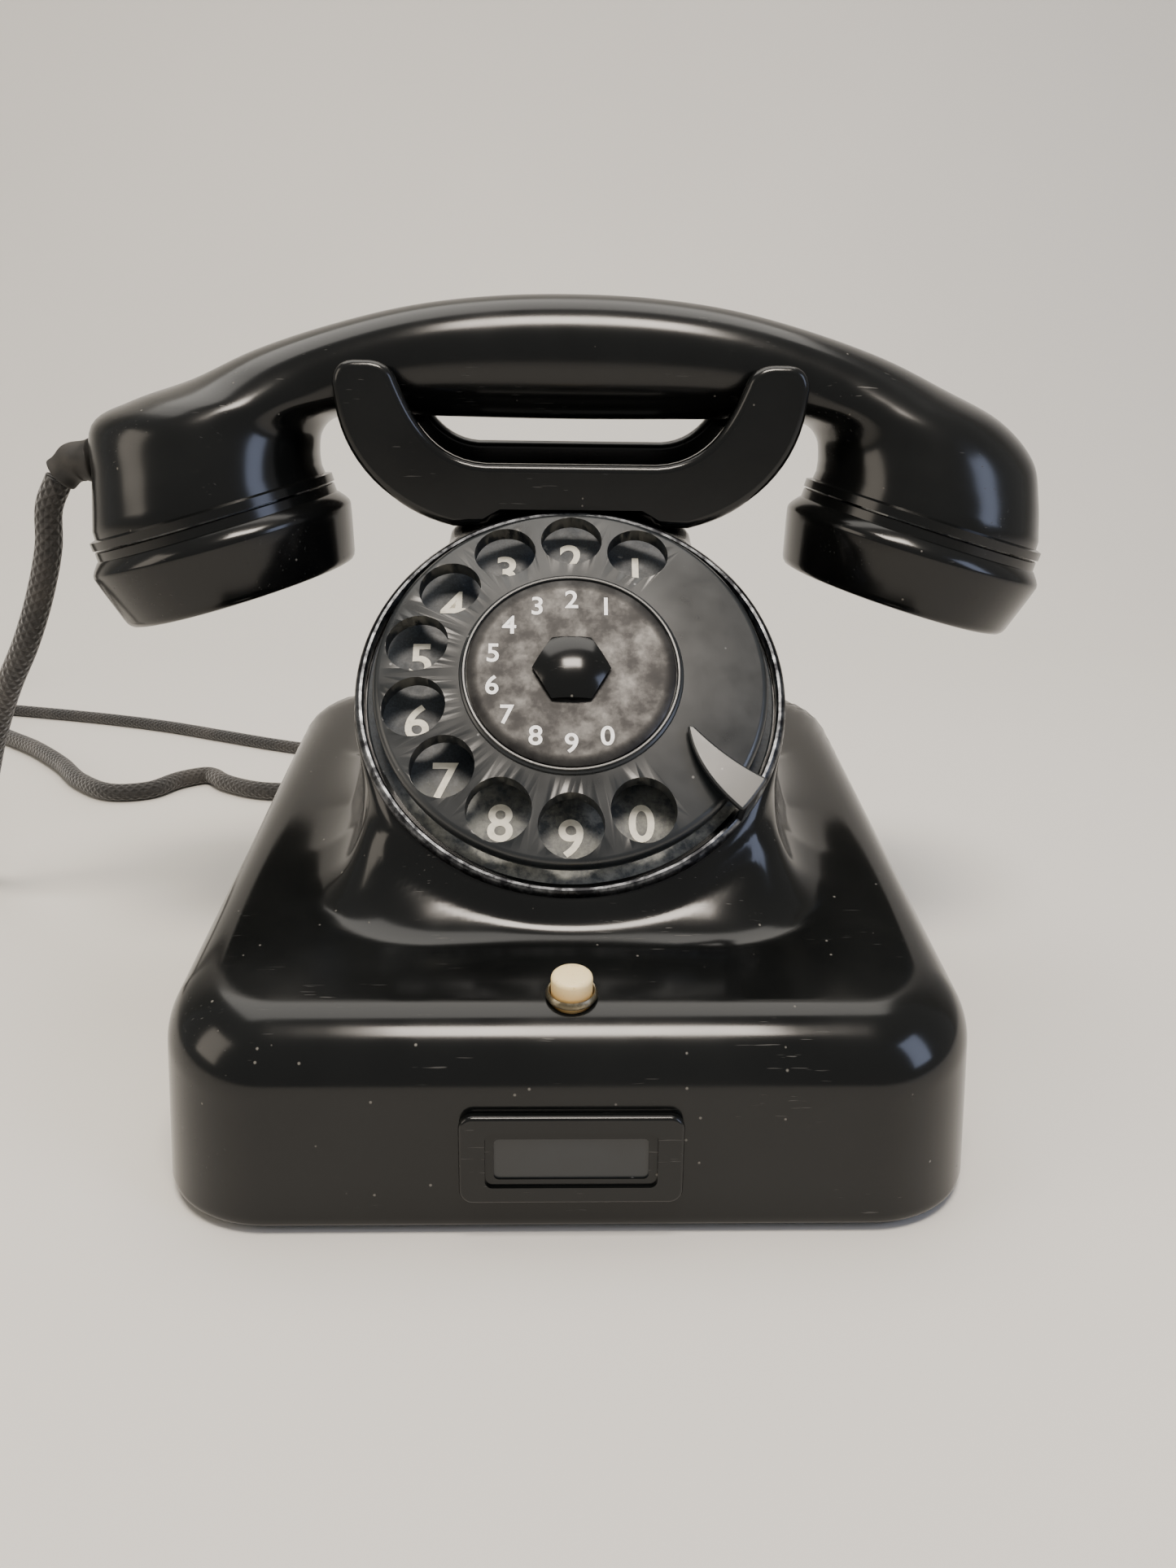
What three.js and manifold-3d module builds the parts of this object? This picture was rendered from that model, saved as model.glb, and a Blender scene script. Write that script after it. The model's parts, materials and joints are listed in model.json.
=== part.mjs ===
// A rotary desk telephone of the late 1940s in black bakelite: a housing with a moving cradle, an inclined
// dial, an earth button and a label frame, a handset on a textile cord, and a line cord with its plug.
// Millimetres, +Z up. The origin is under the middle of the body, on the table, and the dial faces -Y.
import * as THREE from "three";
import { mergeVertices } from "three/addons/utils/BufferGeometryUtils.js";
import Module from "manifold-3d";

const wasm = await Module();
wasm.setup();

// ---- Driving dimensions -------------------------------------------------------------------------------
const gap = 0.3; // between pieces that touch or sit in each other
const wall = 3.2; // moulded bakelite
const sheet = 1.5; // pressed steel

const bodyHalfWidth = 80;
const bodyHalfDepth = 88.5;
const bodyBottom = 1.2; // the rim's height over the table
const frontHeight = 41.3; // the top surface at the front edge
const rearHeight = 61.5; // the top surface at the rear edge
const cornerRadius = 24;
const neckHalfWidth = 29;
const neckTop = 117.8;
const neckRear = 52;

const cradleY = [12, 54]; // its front and rear faces

const dialTilt = THREE.MathUtils.degToRad(48); // the dial's face, up from level
const wheelRadius = 43;
const wheelThickness = 4;
const wheelSurface = 8.1; // the wheel's face at its holes, over the number ring
const wheelConeSlope = Math.tan(THREE.MathUtils.degToRad(7.7));
const wheelRoom = 2.6; // between the wheel and the bezel
const bezelWall = 2.1;
const collarLip = 0.5; // the housing's collar outside the bezel
const bezelInnerRadius = wheelRadius + wheelRoom;
const bezelOuterRadius = bezelInnerRadius + bezelWall;
const collarRadius = bezelOuterRadius + collarLip;
const bezelGap = [-57, -30]; // degrees, where the finger stop passes
// The collar's highest point, over the neck's roof and behind the cradle's front.
const collarRise = 4.2;
const collarReach = 3.45;
const dialCentreY = cradleY[0] + collarReach - collarRadius * Math.cos(dialTilt);
const dialCentreZ = neckTop + collarRise - collarRadius * Math.sin(dialTilt);
const caseRadius = wheelRadius - 3;
const caseDepth = 27;
const holeRadius = 6.9;
const holeRim = 1.6; // between a hole and the wheel's edge
const holeCircleRadius = wheelRadius - holeRim - holeRadius;
const holeCount = 10;
const holePitch = 360 / 14; // degrees
const firstHoleAngle = 90 - holePitch; // the hole of digit 1, right of the top
const ridgeRadius = holeCircleRadius - holeRadius - 3.3;
const discRadius = ridgeRadius - 1.7;
const numberRingInner = ridgeRadius - 0.3;
const discRise = 2.6; // the label disc's face over the wheel's
const knobAcross = 16.9; // corner to corner
const knobRise = 3.2; // over the label disc
const shaftRadius = 3;
const mainGearTeeth = 30;
const mainGearRadius = caseRadius - 19;
const pinionTeeth = 10;
const mainToothHeight = 1.6;
const pinionToothHeight = 1.4;
const pinionRadius = 5.5;
const wormWheelRadius = 7;
const wormRadius = 2.4;

const buttonRadius = 4;
const buttonRise = 3.5; // over its collar
const collarNutRadius = buttonRadius + 1;
const collarNutHeight = 1.8;
const buttonY = -72.5;
const buttonTravel = 2.5;

const labelWidth = 41.3;
const labelHeight = 17.8;
const labelThickness = 2.3;
const labelWindow = [28.4, 8.2];
const labelCentreZ = 17.2;

const cradlePlate = 5;
const cradleBottom = neckTop + 0.8;
const hornHeight = 36.7;
const hornTop = cradleBottom + hornHeight;
const hornSpan = 54.6;
const saddleHeight = [14.4, 17.9]; // of the front and the rear plate, over the cradle's bottom
const rodX = 14;
const rodY = 40;
const rodRadius = 2.5;

const handsetY = 33;
const handleRise = 15.7; // over the horns
const handleTop = hornTop + handleRise;
const cupX = 89.2;
const cupZ = handleTop - 52.6;
const cupTilt = THREE.MathUtils.degToRad(16.1);
const capsuleRadius = 24;
const cupBore = capsuleRadius + 1.5;
const cupWall = 5.3;
const cupRadius = cupBore + cupWall;
const capRadius = cupRadius + 2.2;
const capMouthRadius = capRadius - 4.5;
const capHeight = 20;

const gongRadius = [25.5, 23.5];
const gongX = 33;
const gongY = 47;
const clapperPivotZ = 13;

const handsetCordDiameter = 6.5;
const handsetCoil = { x: -300, y: 213, radius: 36, turns: 577 / 360 };
const lineCordDiameter = 5;
const lineCoil = { x: -330, y: 296.4, radii: [30.25, 24.75], layers: 4 };
const cordExitZ = 12;
const handsetCordExitX = -45;
const lineCordExitX = -8;

// ---- Materials ----------------------------------------------------------------------------------------
function material(color, roughness, metalness) {
  return new THREE.MeshStandardMaterial({ color, roughness, metalness });
}
const bakelite = () => material(0x14110f, 0.18, 0);
const wheelPlastic = () => material(0x1d1f20, 0.38, 0);
const steel = () => material(0x8f9294, 0.38, 1);
const brass = () => material(0xb08d4a, 0.32, 1);
const darkMetal = () => material(0x2e2d2c, 0.4, 0.9);
const copper = () => material(0x8e4a2c, 0.4, 1);
const rubber = () => material(0x191817, 0.85, 0);
const textile = () => material(0x262421, 0.9, 0);
const ivory = () => material(0xf0deb0, 0.35, 0);
const paper = () => material(0x3a3632, 0.8, 0);

// ---- Helpers ------------------------------------------------------------------------------------------
const model = new THREE.Group();
const dial = new THREE.Group(); // its +Z is the dial's axis, out of its face
dial.position.set(0, dialCentreY, dialCentreZ);
dial.rotation.x = dialTilt;
model.add(dial);
dial.updateMatrixWorld(true);

// A closed geometry as a solid that can be cut and joined.
function solid(geometry) {
  const bare = geometry.index ? geometry.toNonIndexed() : geometry.clone();
  bare.deleteAttribute("normal");
  bare.deleteAttribute("uv");
  const merged = mergeVertices(bare, 1e-4);
  const triVerts = new Uint32Array(merged.index.array);
  const vertProperties = merged.attributes.position.array;
  return new wasm.Manifold(new wasm.Mesh({ numProp: 3, vertProperties, triVerts }));
}

function geometryOf(manifold) {
  const cut = manifold.getMesh();
  const geometry = new THREE.BufferGeometry();
  geometry.setAttribute("position", new THREE.BufferAttribute(cut.vertProperties, 3));
  geometry.setIndex(new THREE.BufferAttribute(cut.triVerts, 1));
  const flat = geometry.toNonIndexed();
  flat.computeVertexNormals();
  return flat;
}

function add(parent, name, shape, finish) {
  const geometry = shape.isBufferGeometry ? shape : geometryOf(shape);
  const mesh = new THREE.Mesh(geometry, finish);
  mesh.name = name;
  parent.add(mesh);
  return mesh;
}

const joinAll = (solids) => solids.reduce((whole, one) => whole.add(one));
const cutAll = (whole, tools) => tools.reduce((left, tool) => left.subtract(tool), whole);

function box(width, depth, height, x, y, z) {
  return new THREE.BoxGeometry(width, depth, height).translate(x, y, z);
}

// A cylinder along +Z from its lower end.
function rod(radius, length, x, y, z, sides = 20, topRadius = radius) {
  return new THREE.CylinderGeometry(topRadius, radius, length, sides)
    .rotateX(Math.PI / 2)
    .translate(x, y, z + length / 2);
}

function rodAlongX(radius, length, x, y, z, sides = 14) {
  return new THREE.CylinderGeometry(radius, radius, length, sides)
    .rotateZ(Math.PI / 2)
    .translate(x, y, z);
}

// A turned solid about +Z. The outline is [radius, height] pairs, upwards on the outside.
function turned(outline, sides = 48) {
  const points = outline.map(([r, z]) => new THREE.Vector2(r, z));
  return new THREE.LatheGeometry(points, sides).rotateX(Math.PI / 2);
}

// A ring of rectangular section about +Z.
function ring(inner, outer, bottom, height, sides = 48) {
  const top = bottom + height;
  return turned([[inner, bottom], [outer, bottom], [outer, top], [inner, top], [inner, bottom]], sides);
}

// An outline in the XZ plane, extruded along +Y from y0 to y1.
function plate(shape, y0, y1, curveSegments = 8) {
  return new THREE.ExtrudeGeometry(shape, { depth: y1 - y0, bevelEnabled: false, curveSegments })
    .rotateX(Math.PI / 2)
    .translate(0, y1, 0);
}

// An outline in the XY plane, extruded along +Z.
function slab(shape, z0, z1, curveSegments = 8) {
  return new THREE.ExtrudeGeometry(shape, { depth: z1 - z0, bevelEnabled: false, curveSegments })
    .translate(0, 0, z0);
}

function roundedRectangle(width, height, radius) {
  const shape = new THREE.Shape();
  const [w, h] = [width / 2 - radius, height / 2 - radius];
  shape.absarc(w, -h, radius, -Math.PI / 2, 0);
  shape.absarc(w, h, radius, 0, Math.PI / 2);
  shape.absarc(-w, h, radius, Math.PI / 2, Math.PI);
  shape.absarc(-w, -h, radius, Math.PI, Math.PI * 1.5);
  shape.closePath();
  return shape;
}

// A round tube along a smooth curve through the points.
function tube(points, diameter, sides, stepLength) {
  const curve = new THREE.CatmullRomCurve3(points.map((p) => new THREE.Vector3(...p)), false, "centripetal");
  const steps = Math.ceil(curve.getLength() / stepLength);
  const section = new THREE.Shape();
  for (let i = 0; i < sides; i++) {
    const angle = (2 * Math.PI * i) / sides;
    section[i ? "lineTo" : "moveTo"]((diameter / 2) * Math.cos(angle), (diameter / 2) * Math.sin(angle));
  }
  return new THREE.ExtrudeGeometry(section, { steps, bevelEnabled: false, extrudePath: curve });
}

// A solid skinned over levels. place(turn, level) gives a point of the skin, with turn and level from 0 to
// 1, and the two ends are closed by fans to the middle of their own rim.
function skinned(sides, levels, place) {
  const geometry = new THREE.CylinderGeometry(1, 1, 1, sides, levels).rotateX(Math.PI / 2);
  const position = geometry.attributes.position;
  const middle = [0, 1].map((level) => {
    const sum = new THREE.Vector3();
    for (let i = 0; i < sides; i++) sum.add(place(i / sides, level));
    return sum.divideScalar(sides);
  });
  for (let i = 0; i < position.count; i++) {
    const [x, y, z] = [position.getX(i), position.getY(i), position.getZ(i)];
    const level = Math.round((z + 0.5) * levels) / levels;
    const onRim = Math.hypot(x, y) > 0.5;
    const step = Math.round((Math.atan2(x, -y) / (2 * Math.PI)) * sides);
    const turn = ((step + sides) % sides) / sides;
    const point = onRim ? place(turn, level) : middle[Math.round(level)];
    position.setXYZ(i, point.x, point.y, point.z);
  }
  return geometry;
}

const bodySides = 24;
const cornerStretch = bodySides / 4 / (bodySides / 4 - 1); // a corner's last point closes its quarter

// ---- Housing ------------------------------------------------------------------------------------------
// Each level of the body is a rounded rectangle on a plane that rises from front to rear.
const slopeOf = (s) => (s.zRear - s.zFront) / (s.rear - s.front);

function levelPoint(section, turn) {
  const radius = section.radius;
  const quarter = Math.floor(turn * 4) % 4;
  const angle = (quarter + Math.min((turn * 4 - quarter) * cornerStretch, 1)) * (Math.PI / 2);
  const signX = quarter === 0 || quarter === 3 ? 1 : -1;
  const signY = quarter < 2 ? 1 : -1;
  const halfWidth = section.halfWidth - radius;
  const edgeY = signY > 0 ? section.rear - radius : section.front + radius;
  const x = signX * halfWidth + radius * Math.cos(angle);
  const y = edgeY + radius * Math.sin(angle);
  const z = section.zFront + (y - section.front) * slopeOf(section);
  return new THREE.Vector3(x, y, z);
}

function section(zFront, zRear, halfWidth, front, rear, radius) {
  return { zFront, zRear, halfWidth, front, rear, radius };
}

const w = bodyHalfWidth;
const d = bodyHalfDepth;
const r = cornerRadius;
const rimHeight = 2;
const baseSections = [
  section(bodyBottom, bodyBottom, w - 0.9, -d + 0.8, d - 0.8, r - 1),
  section(bodyBottom + rimHeight, bodyBottom + rimHeight, w, -d, d, r),
  section(frontHeight - 8.5, rearHeight - 9.5, w - 1.3, -d + 2.8, d - 2.9, r - 2),
  section(frontHeight - 3.8, rearHeight - 4.4, w - 2.9, -d + 4.6, d - 5.4, r - 3.5),
  section(frontHeight - 1, rearHeight - 1.2, w - 6.4, -d + 8.3, d - 9.5, r - 6),
  section(frontHeight, rearHeight, w - 10.6, -d + 12.6, d - 13.6, r - 9),
];
const n = neckHalfWidth;
const flareFront = frontHeight + 12.5;
const flareRear = rearHeight + 6.5;
const lerp = THREE.MathUtils.lerp;

// A level of the neck, by its share of the way from the flare to the roof, in front and behind.
function neckSection(frontShare, rearShare, halfWidth, front, rear, radius) {
  const zFront = lerp(flareFront, neckTop, frontShare);
  const zRear = lerp(flareRear, neckTop, rearShare);
  return section(zFront, zRear, halfWidth, front, rear, radius);
}
const towerSections = [
  section(frontHeight + 1, rearHeight - 3, w - 12, -56, d - 15.5, 20),
  section(frontHeight + 4.6, rearHeight + 1, w - 17, -54, d - 18.5, 21),
  section(flareFront, flareRear, lerp(w - 17, n + 15.5, 0.54), -52, d - 22, 21),
  neckSection(0.19, 0.2, n + 15.5, -48, neckRear + 9, 20),
  neckSection(0.41, 0.44, n + 9.5, -40, neckRear + 5, 17),
  neckSection(0.63, 0.66, n + 4, -20, neckRear + 2, 14),
  neckSection(0.83, 0.845, n + 0.8, 0, neckRear + 0.2, 11),
  neckSection(1, 1, n, 12, neckRear, 10),
];
function bodyForm(sections) {
  const last = sections.length - 1;
  return solid(
    skinned(bodySides, last, (turn, level) => levelPoint(sections[Math.round(level * last)], turn)),
  );
}

// The sections of the room inside a form, with one drop in height for each level.
function roomSections(sections, inset, drops) {
  return sections.map((s, i) => ({
    ...s,
    zFront: s.zFront - drops[i],
    zRear: s.zRear - drops[i],
    halfWidth: s.halfWidth - inset,
    front: s.front + inset,
    rear: s.rear - inset,
    radius: Math.max(s.radius - inset, 2),
  }));
}

// A drum about the dial's axis, from z0 to z1 in the dial's frame.
function dialDrum(radius, z0, z1, sides = 40) {
  return solid(rod(radius, z1 - z0, 0, 0, z0, sides).applyMatrix4(dial.matrixWorld));
}
const inFrontOfDial = (z0) => solid(box(200, 200, 100, 0, 0, z0 + 50).applyMatrix4(dial.matrixWorld));

const collarFace = -1; // in the dial's frame
const fusedTower = towerSections.map((s, i) => (i ? s : { ...s, zFront: s.zFront - 4, zRear: s.zRear - 4 }));
const tower = bodyForm(fusedTower).subtract(inFrontOfDial(collarFace));
const collar = dialDrum(collarRadius, -26, collarFace);
const outside = joinAll([bodyForm(baseSections), tower, collar]);
const roomLevel = wall / (baseSections.length - 1);
const roomDrops = [5, ...[1, 2, 3, 4, 5].map((i) => i * roomLevel)];
const baseRoom = bodyForm(roomSections(baseSections, wall, roomDrops));
const towerDrops = [wall + 12, wall, 0, 0, 0, 0, 0, wall + gap];
const towerRoom = bodyForm(roomSections(towerSections, wall, towerDrops))
  .subtract(inFrontOfDial(collarFace - wall));
const dialBore = dialDrum(caseRadius + 4.6, -44, 5);
const buttonSlope = Math.atan(slopeOf(baseSections[5]));
const buttonZ = frontHeight + (buttonY - baseSections[5].front) * Math.tan(buttonSlope);

const button = new THREE.Group(); // its +Z stands on the sloping top
button.position.set(0, buttonY, buttonZ);
button.rotation.x = buttonSlope;
model.add(button);
button.updateMatrixWorld(true);

const housingCuts = [
  baseRoom,
  towerRoom,
  dialBore,
  solid(rod(buttonRadius + 0.6, 30, 0, 0, -15).applyMatrix4(button.matrixWorld)),
];
for (const side of [-1, 1]) housingCuts.push(solid(rod(rodRadius + 0.6, 30, side * rodX, rodY, 100)));
for (const [x, diameter] of [[handsetCordExitX, handsetCordDiameter], [lineCordExitX, lineCordDiameter]])
  housingCuts.push(solid(box(diameter + 7, 30, cordExitZ + 6.5, x, bodyHalfDepth, (cordExitZ + 6.5) / 2)));
add(model, "housing_shell", cutAll(outside, housingCuts), bakelite());

// ---- Base ---------------------------------------------------------------------------------------------
const basePlateZ = 3;
const basePlateShape = roundedRectangle(
  2 * (bodyHalfWidth - wall - 1.2),
  2 * (bodyHalfDepth - wall - 1.2),
  cornerRadius - wall - 1,
);
const basePlateTop = basePlateZ + sheet;
add(model, "base_plate", slab(basePlateShape, basePlateZ, basePlateTop, 6), darkMetal());
const footX = bodyHalfWidth - 17;
const footY = bodyHalfDepth - 17;
[[-1, -1], [1, -1], [1, 1], [-1, 1]].forEach(([sx, sy], i) => {
  const outline = [[0, 0], [6, 0], [7, 1], [7, basePlateZ - gap], [0, basePlateZ - gap]];
  const foot = turned(outline, 14).translate(sx * footX, sy * footY, 0);
  add(model, `rubber_foot_${i + 1}`, foot, rubber());
});

// ---- Dial ---------------------------------------------------------------------------------------------
function wedge(radius, fromDegrees, toDegrees, z0, z1) {
  const shape = new THREE.Shape();
  const [a, b] = [fromDegrees, toDegrees].map(THREE.MathUtils.degToRad);
  shape.moveTo(0, 0);
  shape.lineTo(radius * Math.cos(a), radius * Math.sin(a));
  shape.lineTo(radius * Math.cos(b), radius * Math.sin(b));
  shape.closePath();
  return slab(shape, z0, z1);
}

const bezelOutline = [
  [bezelInnerRadius, collarFace + gap],
  [bezelOuterRadius, collarFace + gap],
  [bezelOuterRadius, 1.2],
  [bezelOuterRadius - 0.7, 1.9],
  [bezelInnerRadius, 1.9],
  [bezelInnerRadius, collarFace + gap],
];
const bezelSlot = solid(wedge(80, bezelGap[0], bezelGap[1], -5, 5));
add(dial, "dial_bezel", solid(turned(bezelOutline, 42)).subtract(bezelSlot), darkMetal());
add(dial, "number_ring", ring(numberRingInner, bezelInnerRadius - gap, -0.9, 0.9, 36), paper());

const caseTop = -0.9 - gap;
const caseFloor = caseTop - caseDepth;
const caseOutline = [
  [0, caseFloor],
  [caseRadius, caseFloor],
  [caseRadius, caseTop],
  [caseRadius - sheet, caseTop],
  [caseRadius - sheet, caseFloor + sheet],
  [0, caseFloor + sheet],
];
const caseHole = solid(rod(shaftRadius + gap, 6, 0, 0, caseFloor - 2));
add(dial, "dial_case", solid(turned(caseOutline, 32)).subtract(caseHole), steel());

// The stop stands in the bezel's gap and reaches over the wheel as a curved fin.
const stopAngle = THREE.MathUtils.degToRad(-37.5);
const stopHeight = wheelSurface + 1.5;
function finPoint(radius, degrees) {
  const angle = THREE.MathUtils.degToRad(degrees);
  return [radius * Math.cos(angle), radius * Math.sin(angle)];
}
const fin = new THREE.Shape();
fin.moveTo(...finPoint(bezelOuterRadius, -43.2));
fin.lineTo(...finPoint(bezelOuterRadius, -31.8));
fin.quadraticCurveTo(...finPoint(wheelRadius - 4.5, -33), ...finPoint(wheelRadius - 14.4, -27.2));
fin.lineTo(...finPoint(wheelRadius - 15.6, -28.4));
fin.quadraticCurveTo(...finPoint(wheelRadius - 9, -43.5), ...finPoint(bezelOuterRadius, -43.2));
const stopLeg = box(2.4, 9, stopHeight + 0.4 - collarFace - gap, 0, 0, 0)
  .translate(bezelOuterRadius - 0.9, 0, (stopHeight + 0.4 + collarFace + gap) / 2)
  .rotateZ(stopAngle);
const stop = solid(slab(fin, stopHeight, stopHeight + 1.7, 6)).add(solid(stopLeg));
add(dial, "finger_stop", stop, bakelite());

const wheelBottom = wheelSurface - wheelThickness;
const coneHeight = (radius) => wheelSurface + (holeCircleRadius - radius) * wheelConeSlope;
const wheelOutline = [
  [shaftRadius + gap, wheelBottom],
  [wheelRadius - 1.2, wheelBottom],
  [wheelRadius, wheelBottom + 1],
  [wheelRadius, coneHeight(wheelRadius) - 0.8],
  [wheelRadius - 0.9, coneHeight(wheelRadius)],
  [ridgeRadius + 1.3, coneHeight(ridgeRadius + 1.3)],
  [ridgeRadius + 0.9, wheelSurface + discRise - 0.3],
  [ridgeRadius + 0.9, wheelSurface],
  [shaftRadius + gap, wheelSurface],
  [shaftRadius + gap, wheelBottom],
];
const holeAngles = Array.from({ length: holeCount }, (_, i) => firstHoleAngle + i * holePitch);
const fingerHoles = holeAngles.map((degrees) => {
  const [x, y] = finPoint(holeCircleRadius, degrees);
  return solid(rod(holeRadius, 20, x, y, 0, 12));
});
add(dial, "finger_wheel", cutAll(solid(turned(wheelOutline, 28)), fingerHoles), wheelPlastic());

const discTop = wheelSurface + discRise;
const ridgeOutline = [
  [discRadius + gap, wheelSurface + gap],
  [ridgeRadius + 0.6, wheelSurface + gap],
  [ridgeRadius + 0.6, discTop],
  [ridgeRadius - 0.2, discTop + 0.7],
  [discRadius + gap, discTop + 0.2],
  [discRadius + gap, wheelSurface + gap],
];
add(dial, "disc_ring", turned(ridgeOutline, 30), wheelPlastic());
const labelDisc = ring(shaftRadius + gap, discRadius, wheelSurface + gap, discRise - gap, 30);
add(dial, "label_disc", labelDisc, darkMetal());
const knob = new THREE.CylinderGeometry(knobAcross / 2 - 1.6, knobAcross / 2, knobRise, 6)
  .rotateY(Math.PI / 6)
  .rotateX(Math.PI / 2)
  .translate(0, 0, discTop + gap + knobRise / 2)
  .rotateZ(Math.PI / 6);
add(dial, "centre_knob", knob, bakelite());
const shaftBottom = caseFloor - 1;
add(dial, "dial_shaft", rod(shaftRadius, discTop - shaftBottom, 0, 0, shaftBottom), steel());

function gear(teeth, radius, toothHeight) {
  const shape = new THREE.Shape();
  for (let i = 0; i < teeth; i++)
    [[0, 0], [0.3, 0], [0.5, 1], [0.8, 1]].forEach(([part, raised], k) => {
      const angle = ((i + part) * 2 * Math.PI) / teeth;
      const reach = radius - toothHeight / 2 + raised * toothHeight;
      shape[i || k ? "lineTo" : "moveTo"](reach * Math.cos(angle), reach * Math.sin(angle));
    });
  shape.closePath();
  return shape;
}
const gearZ = -8;
const gearThickness = 1.6;
const mainTeeth = gear(mainGearTeeth, mainGearRadius, mainToothHeight);
const mainGear = solid(slab(mainTeeth, gearZ, gearZ + gearThickness));
add(dial, "main_gear", mainGear.subtract(solid(rod(shaftRadius + gap, 6, 0, 0, gearZ - 2))), brass());

const springTurns = 2.5;
const springZ = [-20, -14];
const springShape = new THREE.Shape();
const springRadius = (turn) => shaftRadius + 2 + turn * 2.4;
const springSteps = 16 * springTurns;
for (let i = 0; i <= springSteps; i++) {
  const angle = (2 * Math.PI * i) / 16;
  const radius = springRadius(i / 16);
  springShape[i ? "lineTo" : "moveTo"](radius * Math.cos(angle), radius * Math.sin(angle));
}
for (let i = springSteps; i >= 0; i--) {
  const angle = (2 * Math.PI * i) / 16;
  const radius = springRadius(i / 16) + 0.7;
  springShape.lineTo(radius * Math.cos(angle), radius * Math.sin(angle));
}
add(dial, "mainspring", slab(springShape, springZ[0], springZ[1]), steel());

// The pinion's shaft carries the worm wheel that turns the governor, and the cam of the pulse contacts.
const governorY = 18 - caseRadius;
const governorZ = -19;
const pinionY = governorY + wormWheelRadius + wormRadius + gap;
const gearDistance = mainGearRadius + pinionRadius + (mainToothHeight + pinionToothHeight) / 2 + gap;
const pinionX = -Math.sqrt(gearDistance ** 2 - pinionY ** 2);
const pinionParts = [
  slab(gear(pinionTeeth, pinionRadius, pinionToothHeight), gearZ - 0.6, gearZ + gearThickness + 0.6),
  slab(gear(12, wormWheelRadius - 0.5, 1), governorZ - 1.2, governorZ + 1.2),
  rod(1.5, 22, 0, 0, caseFloor + sheet + gap, 8),
  rod(4.2, 1.2, 0, 0, gearZ - 4.4, 10),
].map((part) => solid(part.translate(pinionX, pinionY, 0)));
add(dial, "pinion_shaft", joinAll(pinionParts), brass());
// Where the inside of the case is on the left, with room for the pieces that reach to it.
const besideCase = (y) => -Math.sqrt((caseRadius - sheet - 0.7) ** 2 - y ** 2);
const wormStart = besideCase(governorY - wormRadius);
const wormEnd = pinionX + 5.3;
const governorParts = [
  rodAlongX(1.2, 10.5 - pinionX, (6.7 + pinionX) / 2, governorY, governorZ, 8),
  rodAlongX(wormRadius - 0.3, wormEnd - wormStart, (wormStart + wormEnd) / 2, governorY - 0.2, governorZ, 10),
  box(6, 9, 3, 11.4, governorY, governorZ),
].map(solid);
add(dial, "governor_shaft", joinAll(governorParts), steel());
const cup = ring(6, 7.2, 0, 9, 24).rotateY(Math.PI / 2).translate(8, governorY, governorZ);
add(dial, "governor_cup", cup, brass());
const contactY = caseRadius - 17;
const contactPitch = 2.6;
const contactX = besideCase(contactY + contactPitch + 0.25) + 6.5;
const contactBlock = [
  box(6, 10, 12, contactX + 7.5, contactY, governorZ + 1),
  ...[-1, 0, 1].map((i) => box(13, 0.5, 4, contactX, contactY + i * contactPitch, governorZ + 1)),
].map(solid);
add(dial, "pulse_contacts", joinAll(contactBlock), copper());

// ---- Earth button -------------------------------------------------------------------------------------
const nutOutline = [
  [buttonRadius + gap, gap],
  [collarNutRadius, gap],
  [collarNutRadius, collarNutHeight - 0.4],
  [collarNutRadius - 0.4, collarNutHeight],
  [buttonRadius + gap, collarNutHeight],
  [buttonRadius + gap, gap],
];
add(button, "button_collar", turned(nutOutline, 20), steel());
const buttonTop = collarNutHeight + buttonRise;
const buttonOutline = [
  [0, -wall - 5],
  [buttonRadius, -wall - 5],
  [buttonRadius, buttonTop - 0.5],
  [buttonRadius - 0.6, buttonTop],
  [0, buttonTop],
];
add(button, "earth_button", turned(buttonOutline, 20), ivory());
const contactLift = -wall - 5 - buttonTravel - 1.2;
const buttonContact = box(10, 26, 0.8, 0, 8, contactLift);
add(button, "button_contact", buttonContact, copper());

// ---- Label frame on the front face --------------------------------------------------------------------
const frontFace = baseSections.slice(1, 3);
const [frontFoot, frontHead] = frontFace;
const frontLean = Math.atan2(frontHead.front - frontFoot.front, frontHead.zFront - frontFoot.zFront);
const label = new THREE.Group(); // its +Z points out of the front face, its +Y up that face
const faceShare = (labelCentreZ - frontFace[0].zFront) / (frontFace[1].zFront - frontFace[0].zFront);
label.position.set(0, lerp(frontFace[0].front, frontFace[1].front, faceShare), labelCentreZ);
label.rotation.x = Math.PI / 2 - frontLean;
model.add(label);
const labelBlank = solid(slab(roundedRectangle(labelWidth, labelHeight, 1.6), gap, labelThickness, 4));
const windowCut = solid(slab(roundedRectangle(labelWindow[0], labelWindow[1], 0.6), 1.5, 6, 3));
const cardSlot = solid(slab(roundedRectangle(labelWindow[0] + 5, labelWindow[1] + 3, 0.6), -1, 1.6, 3));
add(label, "label_frame", cutAll(labelBlank, [windowCut, cardSlot]), bakelite());
const cardOutline = roundedRectangle(labelWindow[0] + 4, labelWindow[1] + 2, 0.6);
add(label, "label_card", slab(cardOutline, gap, 1.2, 3), paper());

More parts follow.
